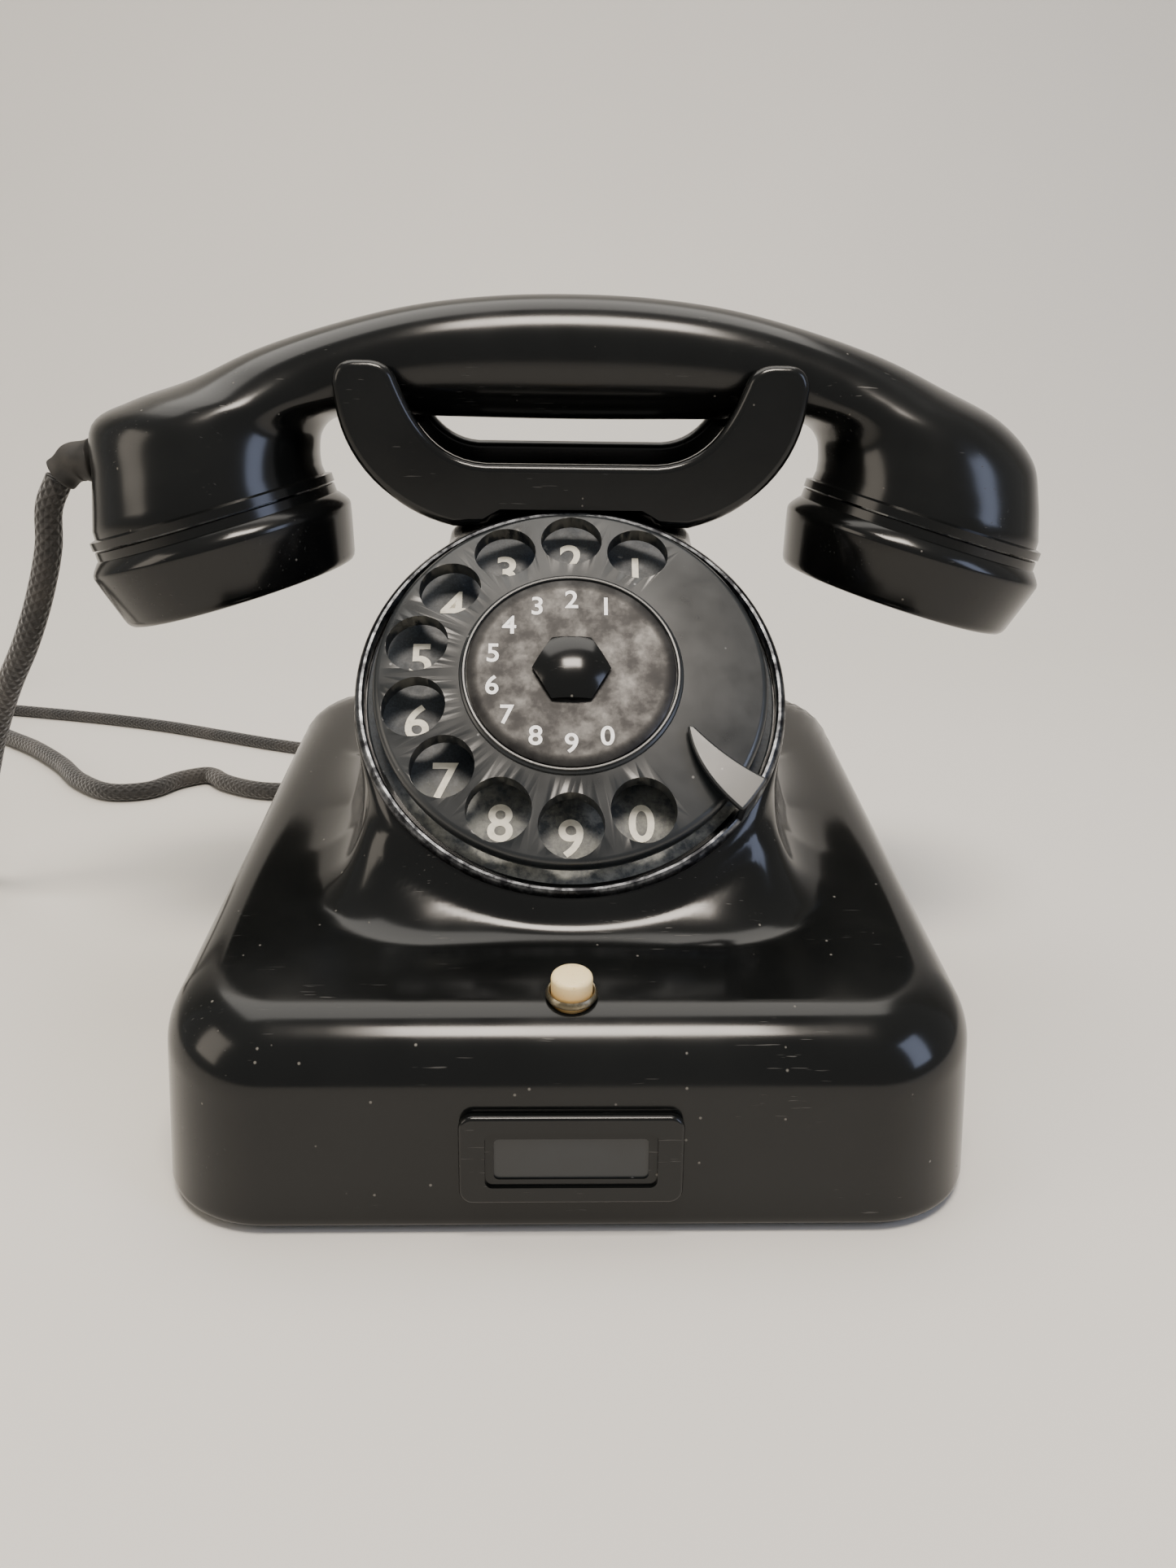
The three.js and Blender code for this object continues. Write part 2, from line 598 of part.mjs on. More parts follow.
// ---- Cradle -------------------------------------------------------------------------------------------
// The outline of the two forked plates, seen from the front. Heights are over the cradle's bottom.
function forkOutline(saddle, flatHalf) {
  const [bottom, saddleZ, shoulder] = [cradleBottom, cradleBottom + saddle, hornTop - 9.3];
  const root = neckHalfWidth - 1;
  const shape = new THREE.Shape();
  shape.moveTo(-root, bottom);
  shape.lineTo(root, bottom);
  shape.bezierCurveTo(hornSpan - 11.6, bottom + 3.9, hornSpan - 1.6, bottom + 14.4, hornSpan - 0.3, shoulder);
  shape.lineTo(hornSpan, hornTop - 3.5);
  shape.quadraticCurveTo(hornSpan, hornTop, hornSpan - 5.1, hornTop);
  shape.lineTo(hornSpan - 10.1, hornTop);
  shape.quadraticCurveTo(hornSpan - 13.8, hornTop, hornSpan - 14.6, hornTop - 3);
  shape.bezierCurveTo(hornSpan - 17, shoulder, hornSpan - 21.1, saddleZ + 0.6, flatHalf, saddleZ);
  shape.lineTo(-flatHalf, saddleZ);
  shape.bezierCurveTo(21.1 - hornSpan, saddleZ + 0.6, 17 - hornSpan, shoulder, 14.6 - hornSpan, hornTop - 3);
  shape.quadraticCurveTo(13.8 - hornSpan, hornTop, 10.1 - hornSpan, hornTop);
  shape.lineTo(5.1 - hornSpan, hornTop);
  shape.quadraticCurveTo(-hornSpan, hornTop, -hornSpan, hornTop - 3.5);
  shape.lineTo(0.3 - hornSpan, shoulder);
  shape.bezierCurveTo(1.6 - hornSpan, bottom + 14.4, 11.6 - hornSpan, bottom + 3.9, -root, bottom);
  return shape;
}

// The trough between the plates.
function troughOutline() {
  const bottom = cradleBottom;
  const root = neckHalfWidth - 1;
  const shape = new THREE.Shape();
  shape.moveTo(-root, bottom);
  shape.lineTo(root, bottom);
  shape.bezierCurveTo(hornSpan - 12.6, bottom + 3.4, hornSpan - 6.6, bottom + 11.4, hornSpan - 4.1, bottom + 19);
  shape.lineTo(hornSpan - 15.6, bottom + 22.4);
  shape.quadraticCurveTo(hornSpan - 22.6, bottom + 9.9, hornSpan - 32.6, bottom + 5);
  shape.lineTo(32.6 - hornSpan, bottom + 5);
  shape.quadraticCurveTo(22.6 - hornSpan, bottom + 9.9, 15.6 - hornSpan, bottom + 22.4);
  shape.lineTo(4.1 - hornSpan, bottom + 19);
  shape.bezierCurveTo(6.6 - hornSpan, bottom + 11.4, 12.6 - hornSpan, bottom + 3.4, -root, bottom);
  return shape;
}
const [cradleFront, cradleRear] = cradleY;
const cradleSolid = joinAll([
  solid(plate(forkOutline(saddleHeight[0], hornSpan - 34.6), cradleFront, cradleFront + cradlePlate, 7)),
  solid(plate(forkOutline(saddleHeight[1], hornSpan - 30.6), cradleRear - cradlePlate, cradleRear, 7)),
  solid(plate(troughOutline(), cradleFront + 1, cradleRear - 1, 6)),
]);
const guideHoles = [-1, 1].map((side) => solid(rod(rodRadius + gap, 30, side * rodX, rodY, 100)));
const dialClearance = dialDrum(collarRadius + 1.2, -40, 3);
add(model, "cradle", cutAll(cradleSolid, [...guideHoles, dialClearance]), bakelite());

// Two rods carry the cradle on a crossbar under the neck's roof, and a spring lifts it.
const rodBottom = neckTop - 33.8;
const yokeParts = [
  ...[-1, 1].map((side) => rod(rodRadius, cradleBottom + 4 - rodBottom, side * rodX, rodY, rodBottom, 14)),
  box(2 * rodX + 8, 8, 3, 0, rodY, rodBottom + 1.5),
].map(solid);
add(model, "cradle_yoke", joinAll(yokeParts), steel());

function spiral(radius, wire, x, y, z0, height, turns, sides = 6) {
  const points = [];
  for (let i = 0; i <= turns * 10; i++) {
    const angle = (2 * Math.PI * i) / 10;
    const z = z0 + (height * i) / (turns * 10);
    points.push([x + radius * Math.cos(angle), y + radius * Math.sin(angle), z]);
  }
  return tube(points, wire, sides, (2 * Math.PI * radius) / 8);
}
const frameTop = neckTop - wall - 0.3 - gap - sheet;
const springFoot = rodBottom + 4.2;
const cradleSpring = spiral(4, 1, 0, rodY, springFoot, frameTop - springFoot - 1.2, 4, 5);
add(model, "cradle_spring", cradleSpring, steel());

// ---- Hook switch --------------------------------------------------------------------------------------
const cheekX = 20;
const leverPivot = { y: 24, z: rodBottom - 4.8 };
const cheekBottom = rodBottom - 11;
const cheekStep = rodBottom + 0.3; // under it the cheeks reach forward to the lever's pin
const cheekRear = neckRear - wall - 0.8;
const roofPlateZ = frameTop - gap;
function cheekPlate(front, bottom, top) {
  return box(sheet, cheekRear - front, top - bottom, 0, (cheekRear + front) / 2, (top + bottom) / 2);
}
const roofPlateFront = 37;
const roofPlateY = (cheekRear + roofPlateFront) / 2;
const roofPlateDepth = cheekRear - roofPlateFront;
const roofPlate = box(2 * cheekX + sheet, roofPlateDepth, sheet, 0, roofPlateY, roofPlateZ + sheet / 2);
const cheekParts = [
  cheekPlate(roofPlateFront, cheekBottom, roofPlateZ + sheet),
  cheekPlate(19.5, cheekBottom, cheekStep),
];
const hookFrameParts = [roofPlate];
for (const part of cheekParts)
  for (const side of [-1, 1]) hookFrameParts.push(part.clone().translate(side * cheekX, 0, 0));
const frameHoles = [-1, 1].map((side) => solid(rod(rodRadius + gap, 30, side * rodX, rodY, 100, 12)));
const pinHole = solid(rodAlongX(1.5 + gap, 60, 0, leverPivot.y, leverPivot.z, 10));
add(model, "hook_frame", cutAll(joinAll(hookFrameParts.map(solid)), [...frameHoles, pinHole]), steel());
add(model, "hook_pin", rodAlongX(1.5, 2 * cheekX + 5, 0, leverPivot.y, leverPivot.z, 10), steel());
const leverTop = rodBottom - gap;
const leverParts = [
  rodAlongX(3.4, 24, 0, leverPivot.y, leverPivot.z),
  box(24, rodY + 4 - leverPivot.y, 2, 0, (rodY + 4 + leverPivot.y) / 2, leverTop - 1),
  box(6, 29, 2, 0, leverPivot.y + 14.5, leverPivot.z - 3.2),
].map(solid);
add(model, "hook_lever", joinAll(leverParts).subtract(pinHole), steel());
const bracketTop = 47;
const hookContactParts = [
  box(13, 9, 8, 0, 59, bracketTop + 4),
  ...[0, 1, 2].map((i) => box(8, 0.5, 20, 0, 56.5 + 2.2 * i, bracketTop + 12)),
].map(solid);
add(model, "hook_contacts", joinAll(hookContactParts), copper());
const bracketFoot = basePlateTop + gap;
const bracketParts = [
  box(13, 18, sheet, 0, 64, bracketFoot + sheet / 2),
  box(8, sheet, bracketTop - gap - bracketFoot, 0, 72.2, (bracketTop - gap + bracketFoot) / 2),
  box(13, 17, sheet, 0, 64.5, bracketTop - gap - sheet / 2),
].map(solid);
add(model, "chassis_bracket", joinAll(bracketParts), steel());

// ---- Bell ---------------------------------------------------------------------------------------------
const gongRim = 29;
const gongThickness = 1.4;
function gong(radius) {
  const t = gongThickness;
  return turned([
    [2 + gap, gongRim + 9],
    [radius * 0.55, gongRim + 8.2],
    [radius * 0.88, gongRim + 5],
    [radius, gongRim],
    [radius - t, gongRim],
    [radius * 0.88 - t, gongRim + 4],
    [radius * 0.55 - t / 2, gongRim + 8.2 - t],
    [2 + gap, gongRim + 9 - t],
    [2 + gap, gongRim + 9],
  ].reverse(), 24);
}
["left", "right"].forEach((side, i) => {
  const x = (i ? 1 : -1) * gongX;
  add(model, `gong_${side}`, gong(gongRadius[i]).translate(x, gongY, 0), brass());
  const post = [
    rod(4, gongRim + 9 - gongThickness - gap - basePlateTop - gap, x, gongY, basePlateTop + gap, 14),
    rod(2, 12, x, gongY, gongRim + 2, 12),
    rod(4, 2.2, x, gongY, gongRim + 9 + gap, 12),
  ].map(solid);
  add(model, `gong_post_${side}`, joinAll(post), steel());
});
[-1, 1].forEach((side, i) => {
  const coil = rodAlongX(7, 18, side * 13, 30, basePlateTop + gap + 8.5, 14);
  const cheeks = [4.5, 21.5].map((x) => rodAlongX(8, 1, side * x, 30, basePlateTop + gap + 8.5, 14));
  add(model, `bell_coil_${i + 1}`, joinAll([coil, ...cheeks].map(solid)), copper());
});
const clapperParts = [
  new THREE.CylinderGeometry(1, 1, 24, 10).rotateX(Math.PI / 2).translate(0, gongY, clapperPivotZ + 12),
  new THREE.SphereGeometry(3.2, 10, 6).translate(0, gongY, clapperPivotZ + 24),
  box(12, 3, 3, 0, gongY, clapperPivotZ + 3.5),
  new THREE.CylinderGeometry(2.6, 2.6, 4, 16).translate(0, gongY, clapperPivotZ),
];
const clapperBore = solid(
  new THREE.CylinderGeometry(1 + gap, 1 + gap, 20, 12).translate(0, gongY, clapperPivotZ),
);
add(model, "clapper", joinAll(clapperParts.map(solid)).subtract(clapperBore), steel());
const pivotParts = [
  box(10, sheet, 12, 0, gongY + 4, basePlateTop + gap + 6),
  box(10, 8, sheet, 0, gongY + 1, basePlateTop + gap + sheet / 2),
  new THREE.CylinderGeometry(1, 1, 7, 12).translate(0, gongY + 0.6, clapperPivotZ),
].map(solid);
add(model, "clapper_bracket", joinAll(pivotParts), steel());

// ---- Circuit parts on the base plate ------------------------------------------------------------------
const floorZ = basePlateTop + gap;
const inductionParts = [
  rodAlongX(9, 34, -40, -38, floorZ + 12, 24),
  box(3, 22, 24, -56, -38, floorZ + 12),
  box(3, 22, 24, -24, -38, floorZ + 12),
].map(solid);
add(model, "induction_coil", joinAll(inductionParts), copper());
add(model, "capacitor", box(46, 26, 24, 38, -38, floorZ + 12), steel());
const stripParts = [box(60, 14, 6, 0, -64, floorZ + 3)];
for (let i = 0; i < 8; i++) stripParts.push(rod(2.2, 3, -26 + (52 / 7) * i, -64, floorZ + 5.5, 6));
add(model, "terminal_strip", joinAll(stripParts.map(solid)), bakelite());

// ---- Handset ------------------------------------------------------------------------------------------
// Sections of the grip from its middle to a cup. Each runs from a point of the outer edge to one of the
// inner edge, and reaches to either side of the middle plane.
function gripSection(outerX, outerZ, innerX, innerZ, reach) {
  return { outerX, outerZ, innerX, innerZ, reach };
}
const cosTilt = Math.cos(cupTilt);
const sinTilt = Math.sin(cupTilt);
function acrossCup(radius, up) {
  const [x, z] = [cupX + up * sinTilt, cupZ + up * cosTilt];
  const [aside, down] = [radius * cosTilt, radius * sinTilt];
  return gripSection(x + aside, z - down, x - aside, z + down, radius);
}
function gripSections(outerCorner) {
  const t = handleTop;
  const [outer, inner] = [cupX + cupRadius, cupX - cupRadius];
  const c = outerCorner;
  return [
    acrossCup(cupRadius, 0),
    acrossCup(cupRadius, 2.2),
    acrossCup(cupRadius - 1.6, 2.4),
    gripSection(outer - 2.8, t - 46 + c * 0.4, inner + 4.2, t - 37, cupRadius - 3.6),
    gripSection(outer - 5.4 + c * 0.25, t - 36.5 + c, inner + 3.4, t - 32.6, cupRadius - 6.3),
    gripSection(outer - 14.5, t - 27.4 + c * 0.4, inner + 0.6, t - 29.4, cupRadius - 9.3),
    gripSection(91, t - 20.2, 54, t - 28, 18.2),
    gripSection(75.5, t - 13.3, 46.5, t - 27.9, 15.4),
    gripSection(57, t - 7.4, 38.5, t - 28, 13.9),
    gripSection(38, t - 3, 29, t - 28.2, 13.4),
    gripSection(19, t - 0.7, 15.5, t - 28.4, 13.2),
    gripSection(0, t, 0, t - 28.5, 13.1),
  ];
}
const leftGrip = gripSections(5.5).map((s) => ({ ...s, outerX: -s.outerX, innerX: -s.innerX }));
const rightGrip = gripSections(0).slice(0, -1).reverse();
const gripPath = [...leftGrip, ...rightGrip];
const gripSides = 16;

function gripForm(inset, fromIndex, toIndex) {
  const chosen = gripPath.slice(fromIndex, toIndex);
  return solid(
    skinned(gripSides, chosen.length - 1, (turn, level) => {
      const s = chosen[Math.round(level * (chosen.length - 1))];
      const angle = -turn * 2 * Math.PI;
      const [midX, midZ] = [(s.outerX + s.innerX) / 2, (s.outerZ + s.innerZ) / 2];
      const [halfX, halfZ] = [(s.outerX - s.innerX) / 2, (s.outerZ - s.innerZ) / 2];
      const half = Math.hypot(halfX, halfZ);
      const share = ((half - inset) / half) * Math.cos(angle);
      const side = (s.reach - inset) * Math.sin(angle);
      return new THREE.Vector3(midX + halfX * share, handsetY + side, midZ + halfZ * share);
    }),
  );
}

// Places a shape made about +Z so that its +Z points out of a cup's mouth.
function atCup(geometry, side) {
  return geometry
    .rotateX(Math.PI)
    .rotateY(side * cupTilt)
    .translate(side * cupX, handsetY, cupZ);
}
const cupDepth = 8;
const throatRadius = 16;
const gripWall = 5;
const gripHollow = gripForm(gripWall, 3, gripPath.length - 3);
const cupCuts = [-1, 1].map((side) => solid(atCup(rod(cupBore, cupDepth + 5, 0, 0, -cupDepth, 24), side)));
const throatCuts = [-1, 1].map((side) =>
  solid(atCup(rod(throatRadius, 12, 0, 0, -cupDepth - 7, 14), side)),
);
const grip = cutAll(gripForm(0, 0, gripPath.length), [gripHollow, ...cupCuts, ...throatCuts]);
add(model, "handset_handle", grip, bakelite());

const capTop = gap;
const capOutline = [
  [capsuleRadius + 3, capTop],
  [cupRadius - 0.4, capTop],
  [cupRadius - 0.2, capTop + 2.4],
  [capRadius - 0.4, capTop + 4.4],
  [capRadius, capTop + 6],
  [capRadius - 0.6, capTop + 9],
  [capMouthRadius + 1.6, capHeight - 1.4],
  [capMouthRadius, capHeight],
  [0, capHeight - 1.2],
  [0, capHeight - 3.6],
  [capsuleRadius + 2.2, capHeight - 3.6],
  [capsuleRadius + 3, capTop],
];
const soundHoles = [[0, 0], ...Array.from({ length: 6 }, (_, i) => finPoint(8.5, i * 60))];
for (const [name, side, radius] of [["mouth_cap", -1, 1.6], ["ear_cap", 1, 1.6]]) {
  const cap = solid(turned(capOutline, 24));
  const holes = soundHoles.map(([x, y]) => solid(rod(radius, 12, x, y, capHeight - 8, 6)));
  const placed = geometryOf(cutAll(cap, holes));
  add(model, name, atCup(placed, side), bakelite());
}
for (const [name, side] of [["transmitter_capsule", -1], ["receiver_capsule", 1]]) {
  const outline = [
    [0, 2 - cupDepth],
    [capsuleRadius - 5, 2 - cupDepth],
    [capsuleRadius - 5, -2],
    [capsuleRadius, -2],
    [capsuleRadius, capHeight - 6],
    [capsuleRadius - 2, capHeight - 4.5],
    [0, capHeight - 4.5],
  ];
  add(model, name, atCup(turned(outline, 20), side), steel());
}

// ---- Cords --------------------------------------------------------------------------------------------
// The handset cord leaves the mouthpiece end, falls to the table, lies in a coil, and comes back to the
// rear of the housing. Its points are a chosen route.
const onTable = handsetCordDiameter / 2 + 0.1;
const hangingRoute = [
  [-127.2, 33, 126.7],
  [-130.8, 33.4, 120],
  [-132.6, 34, 110],
  [-137.2, 35, 97],
  [-143.2, 36.5, 84.5],
  [-151, 39.5, 72],
  [-160, 45, 56],
  [-169, 52.5, 38],
  [-178.5, 62, 21],
  [-190, 74.5, 9],
  [-202, 92, onTable + 0.6],
  [-214, 115, onTable],
  [-230, 142, onTable],
  [-251, 166, onTable],
  [-276.3, 176.6, onTable],
];
const lyingRoute = [
  [-256.4, 226.4, onTable + 1.4],
  [-243, 215.5, onTable],
  [-222, 197.5, onTable],
  [-203, 177, onTable],
  [-187, 156.5, onTable],
  [-171, 144.5, onTable],
  [-158, 147, onTable],
  [-150, 159, onTable],
  [-140.5, 164.5, onTable],
  [-131, 155.5, onTable],
  [-117, 147.5, onTable],
  [-97, 145, onTable],
  [-75, 140, onTable + 0.6],
  [-58, 130.5, 5.6],
  [-48.2, 123.5, 8.2],
  [-46.4, 116.2, 10.2],
];
const ropeSides = 8;
add(model, "handset_cord_hanging", tube(hangingRoute, handsetCordDiameter, ropeSides, 17), textile());
add(model, "handset_cord_lying", tube(lyingRoute, handsetCordDiameter, ropeSides, 17), textile());
const coilHeight = handsetCordDiameter * (handsetCoil.turns + 1);
const handsetCoilRing = ring(
  handsetCoil.radius - handsetCordDiameter / 2 - 0.2,
  handsetCoil.radius + handsetCordDiameter / 2 + 0.2,
  0.1,
  coilHeight,
  28,
).translate(handsetCoil.x, handsetCoil.y, 0);
add(model, "handset_cord_coil", handsetCoilRing, textile());

const lineOnTable = lineCordDiameter / 2 + 0.1;
const lineRoute = [
  [-8.9, 116.2, 9.6],
  [-10.6, 124, 7.4],
  [-15.5, 136, 4.2],
  [-26, 151, lineOnTable + 0.3],
  [-45, 168, lineOnTable],
  [-70, 183, lineOnTable],
  [-97, 196, lineOnTable],
  [-124, 207, lineOnTable],
  [-150, 219.5, lineOnTable],
  [-177, 232.5, lineOnTable],
  [-206, 243.5, lineOnTable],
  [-236, 252.5, lineOnTable],
  [-265, 260, lineOnTable],
  [-290, 264.6, lineOnTable],
  [-310, 266, lineOnTable],
];
add(model, "line_cord", tube(lineRoute, lineCordDiameter, ropeSides, 14), textile());
const lineCoilRing = ring(
  lineCoil.radii[1] - lineCordDiameter / 2 - 0.2,
  lineCoil.radii[0] + lineCordDiameter / 2 + 0.2,
  0.1,
  lineCoil.layers * lineCordDiameter + 0.2,
  28,
).translate(lineCoil.x, lineCoil.y, 0);
add(model, "line_cord_coil", lineCoilRing, textile());
const plugEnd = [-380, 262.5, 8.7];
const plugRoute = [
  [-352, 266, 16.5],
  [-364, 265, 12],
  [-373, 263, 9.4],
  plugEnd,
];
add(model, "line_cord_tail", tube(plugRoute, lineCordDiameter, ropeSides, 8), textile());

const plugLength = 34;
const plug = new THREE.Group(); // its +Z points along the plug's pins
const plugNeckLength = 4;
plug.position.set(plugEnd[0] - gap - plugNeckLength, plugEnd[1], plugEnd[2]);
plug.rotation.set(0, -Math.PI / 2, 0);
model.add(plug);
const plugBody = slab(roundedRectangle(16.5, 30, 5), 0, plugLength - 12, 5);
const plugNeck = rod(7.5, plugNeckLength + 0.1, 0, 0, -plugNeckLength, 16, 7.9);
const plugParts = [plugBody, plugNeck].map(solid);
for (const [px, py] of [[-4, -8], [4, -8], [-4, 8], [4, 8]])
  plugParts.push(solid(box(1.6, 5, 14, px, py, plugLength - 12 + 6)));
add(plug, "line_plug", joinAll(plugParts), bakelite());

// Strain reliefs: a sleeve on the handset and two grommets in the housing's rear wall.
function relief(points, rootDiameter, endDiameter, sides = 12) {
  const curve = new THREE.CatmullRomCurve3(points.map((p) => new THREE.Vector3(...p)));
  const levels = 4;
  const frames = curve.computeFrenetFrames(levels, false);
  return skinned(sides, levels, (turn, level) => {
    const i = Math.round(level * levels);
    const radius = THREE.MathUtils.lerp(rootDiameter, endDiameter, level) / 2;
    const centre = curve.getPointAt(level);
    const angle = turn * 2 * Math.PI;
    return centre
      .addScaledVector(frames.normals[i], radius * Math.cos(angle))
      .addScaledVector(frames.binormals[i], radius * Math.sin(angle));
  });
}
const sleeveRoot = -(cupX + cupRadius) + 1.8;
const sleeveLine = [[sleeveRoot, 131.8], [sleeveRoot - 4.4, 131.2], [sleeveRoot - 8.1, 127.8]];
const sleevePoints = sleeveLine.map(([x, z]) => [x, handsetY, z]);
add(model, "handset_relief", relief(sleevePoints, 10, 8.6), rubber());
function rearRelief(x, sideways, drop, diameter) {
  const root = [x, bodyHalfDepth - 9, cordExitZ];
  const middle = [x, bodyHalfDepth + 9, cordExitZ - 0.4];
  const end = [x + sideways, bodyHalfDepth + reliefReach, cordExitZ - drop];
  return relief([root, middle, end], diameter + 5.5, diameter + 1);
}
const reliefReach = 26.9; // out of the rear wall
add(model, "handset_cord_relief", rearRelief(handsetCordExitX, -1.3, 1.6, handsetCordDiameter), rubber());
add(model, "line_cord_relief", rearRelief(lineCordExitX, -0.8, 2.2, lineCordDiameter), rubber());

export default model;
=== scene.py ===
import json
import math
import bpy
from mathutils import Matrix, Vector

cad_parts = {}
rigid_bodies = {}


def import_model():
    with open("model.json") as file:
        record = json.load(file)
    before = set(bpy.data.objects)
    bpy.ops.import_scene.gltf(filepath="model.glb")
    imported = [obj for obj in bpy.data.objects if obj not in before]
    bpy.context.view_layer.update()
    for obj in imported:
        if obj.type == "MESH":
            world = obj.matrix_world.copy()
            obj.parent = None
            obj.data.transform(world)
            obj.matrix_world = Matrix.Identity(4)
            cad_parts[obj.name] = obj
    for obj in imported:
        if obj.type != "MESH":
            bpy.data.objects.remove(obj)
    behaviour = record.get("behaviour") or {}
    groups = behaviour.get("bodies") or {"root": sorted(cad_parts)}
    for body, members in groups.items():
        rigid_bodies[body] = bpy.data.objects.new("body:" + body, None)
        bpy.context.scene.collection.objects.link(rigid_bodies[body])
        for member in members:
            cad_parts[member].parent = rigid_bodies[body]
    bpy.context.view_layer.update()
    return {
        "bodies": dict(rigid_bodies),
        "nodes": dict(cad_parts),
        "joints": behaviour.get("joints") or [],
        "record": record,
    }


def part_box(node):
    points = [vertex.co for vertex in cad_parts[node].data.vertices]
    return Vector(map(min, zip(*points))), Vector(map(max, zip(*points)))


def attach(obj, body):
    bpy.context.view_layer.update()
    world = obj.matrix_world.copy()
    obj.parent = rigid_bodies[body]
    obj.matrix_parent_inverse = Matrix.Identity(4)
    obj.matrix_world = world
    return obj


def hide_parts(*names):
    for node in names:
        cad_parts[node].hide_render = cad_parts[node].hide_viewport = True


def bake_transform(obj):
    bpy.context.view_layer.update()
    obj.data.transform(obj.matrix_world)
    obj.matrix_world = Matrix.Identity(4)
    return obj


bl_info = {
    "name": "Rotary Desk Telephone",
    "version": (1, 0, 0),
    "blender": (4, 5, 0),
    "location": "View3D > Sidebar > Telephone",
    "description": "Builds a black bakelite rotary desk telephone piece by piece around its packed frame",
    "category": "Add Mesh",
}

import bpy
import numpy as np
from mathutils import Matrix, Vector

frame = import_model()

MM = 0.001
JOINTS = {joint["name"]: joint for joint in frame["record"]["behaviour"]["joints"]}

# The dial's own frame: its +Z comes out of its face, and its +Y runs up it.
DIAL_CENTRE = Vector(JOINTS["dial_spin"]["pos_m"])
DIAL_OUT = -Vector(JOINTS["dial_spin"]["axis"]).normalized()
DIAL_UP = DIAL_OUT.cross(Vector((1, 0, 0)))
DIAL = Matrix.Translation(DIAL_CENTRE) @ Matrix((Vector((1, 0, 0)), DIAL_UP, DIAL_OUT)).transposed().to_4x4()

# The button's own frame: its +Z comes out of the sloping top.
BUTTON_OUT = -Vector(JOINTS["earth_button_press"]["axis"]).normalized()
BUTTON_UP = BUTTON_OUT.cross(Vector((1, 0, 0)))
BUTTON_AXES = Matrix((Vector((1, 0, 0)), BUTTON_UP, BUTTON_OUT)).transposed().to_4x4()


# ---- Colours and sizes a user would change ------------------------------------------------------------
def linear(hex_colour):
    """An sRGB hex colour as linear red, green and blue."""
    values = [int(hex_colour[i : i + 2], 16) / 255 for i in (0, 2, 4)]
    return tuple(v / 12.92 if v <= 0.04045 else ((v + 0.055) / 1.055) ** 2.4 for v in values)


def millimetres(name, description, default):
    """A size in millimetres."""
    return bpy.props.FloatProperty(name=name, description=description, default=default, min=0)


def colour(name, description, default):
    """A colour given as an sRGB hex value."""
    return bpy.props.FloatVectorProperty(
        name=name, description=description, default=linear(default), subtype="COLOR", size=3, min=0, max=1
    )


class TelephoneHousing(bpy.types.PropertyGroup):
    half_width: millimetres("Half width", "Half of the body's width at the table", 80)
    half_depth: millimetres("Half depth", "Half of the body's depth at the table", 88.5)
    rim: millimetres("Rim", "Height of the body's rim over the table", 1.2)
    front_height: millimetres("Front height", "Top surface at the front edge", 41.3)
    rear_height: millimetres("Rear height", "Top surface at the rear edge", 61.5)
    corner: millimetres("Corner radius", "Radius of the upright corners", 23)
    edge: millimetres("Edge radius", "Radius of the top's edges", 11.5)
    neck_top: millimetres("Neck top", "Height of the neck's roof", 117.8)
    wall: millimetres("Wall", "Moulded wall thickness", 3.2)
    collar: millimetres("Collar radius", "Radius of the dial's collar", 48.2)
    voxel: millimetres("Mesh size", "Edge length of the shell's mesh", 1.5)


class TelephoneDial(bpy.types.PropertyGroup):
    wheel: millimetres("Wheel radius", "Radius of the finger wheel", 43)
    hole: millimetres("Hole radius", "Radius of a finger hole", 6.9)
    hole_circle: millimetres("Hole circle", "Radius of the circle of holes", 34.5)
    face: millimetres("Wheel face", "The wheel's face over the number ring", 8.1)
    ridge: millimetres("Ridge radius", "Radius of the ring round the disc", 24.3)
    disc: millimetres("Disc radius", "Radius of the centre disc", 22.6)
    disc_rise: millimetres("Disc rise", "The disc's face over the wheel's", 2.6)
    knob: millimetres("Knob width", "The hexagonal knob, corner to corner", 16.9)
    digit: millimetres("Digit height", "Digits on the number ring", 8.5)
    small_digit: millimetres("Small digit height", "Digits on the centre disc", 4.5)


class TelephoneHandset(bpy.types.PropertyGroup):
    middle_y: millimetres("Middle", "The handset's middle plane", 33)
    top: millimetres("Top", "The grip's highest point", 171)
    cup_x: millimetres("Cup distance", "A cup's middle from the telephone's middle", 89.2)
    cup_z: millimetres("Cup height", "A cup's rim at its middle", 118.4)
    tilt: bpy.props.FloatProperty(
        name="Cup tilt", description="Lean of a cup", default=math.radians(16.1), subtype="ANGLE"
    )
    cup: millimetres("Cup radius", "Radius of a cup's rim", 30.8)
    cap: millimetres("Cap radius", "Widest radius of a screwed cap", 33)
    cap_height: millimetres("Cap height", "Height of a screwed cap", 20)


class TelephoneCords(bpy.types.PropertyGroup):
    handset_diameter: millimetres("Handset cord", "Diameter of the handset's cord", 6.5)
    line_diameter: millimetres("Line cord", "Diameter of the line cord", 5)


class TelephoneColours(bpy.types.PropertyGroup):
    bakelite: colour("Bakelite", "Moulded phenolic resin", "090a0a")
    wheel: colour("Wheel", "Satin phenolic of the finger wheel", "15181a")
    plate: colour("Number ring", "Enamelled number ring", "24292e")
    digits: colour("Digits", "Digits of the number ring", "f4f0e0")
    small_digits: colour("Small digits", "Digits of the centre disc", "f2f2f2")
    button: colour("Button", "Yellowed casein button", "f0dcaa")
    textile: colour("Textile", "Braided cotton", "171514")
    floor: colour("Floor", "Studio floor", "d9d6d0")


SETTINGS = {
    "tele_housing": TelephoneHousing,
    "tele_dial": TelephoneDial,
    "tele_handset": TelephoneHandset,
    "tele_cords": TelephoneCords,
    "tele_colours": TelephoneColours,
}


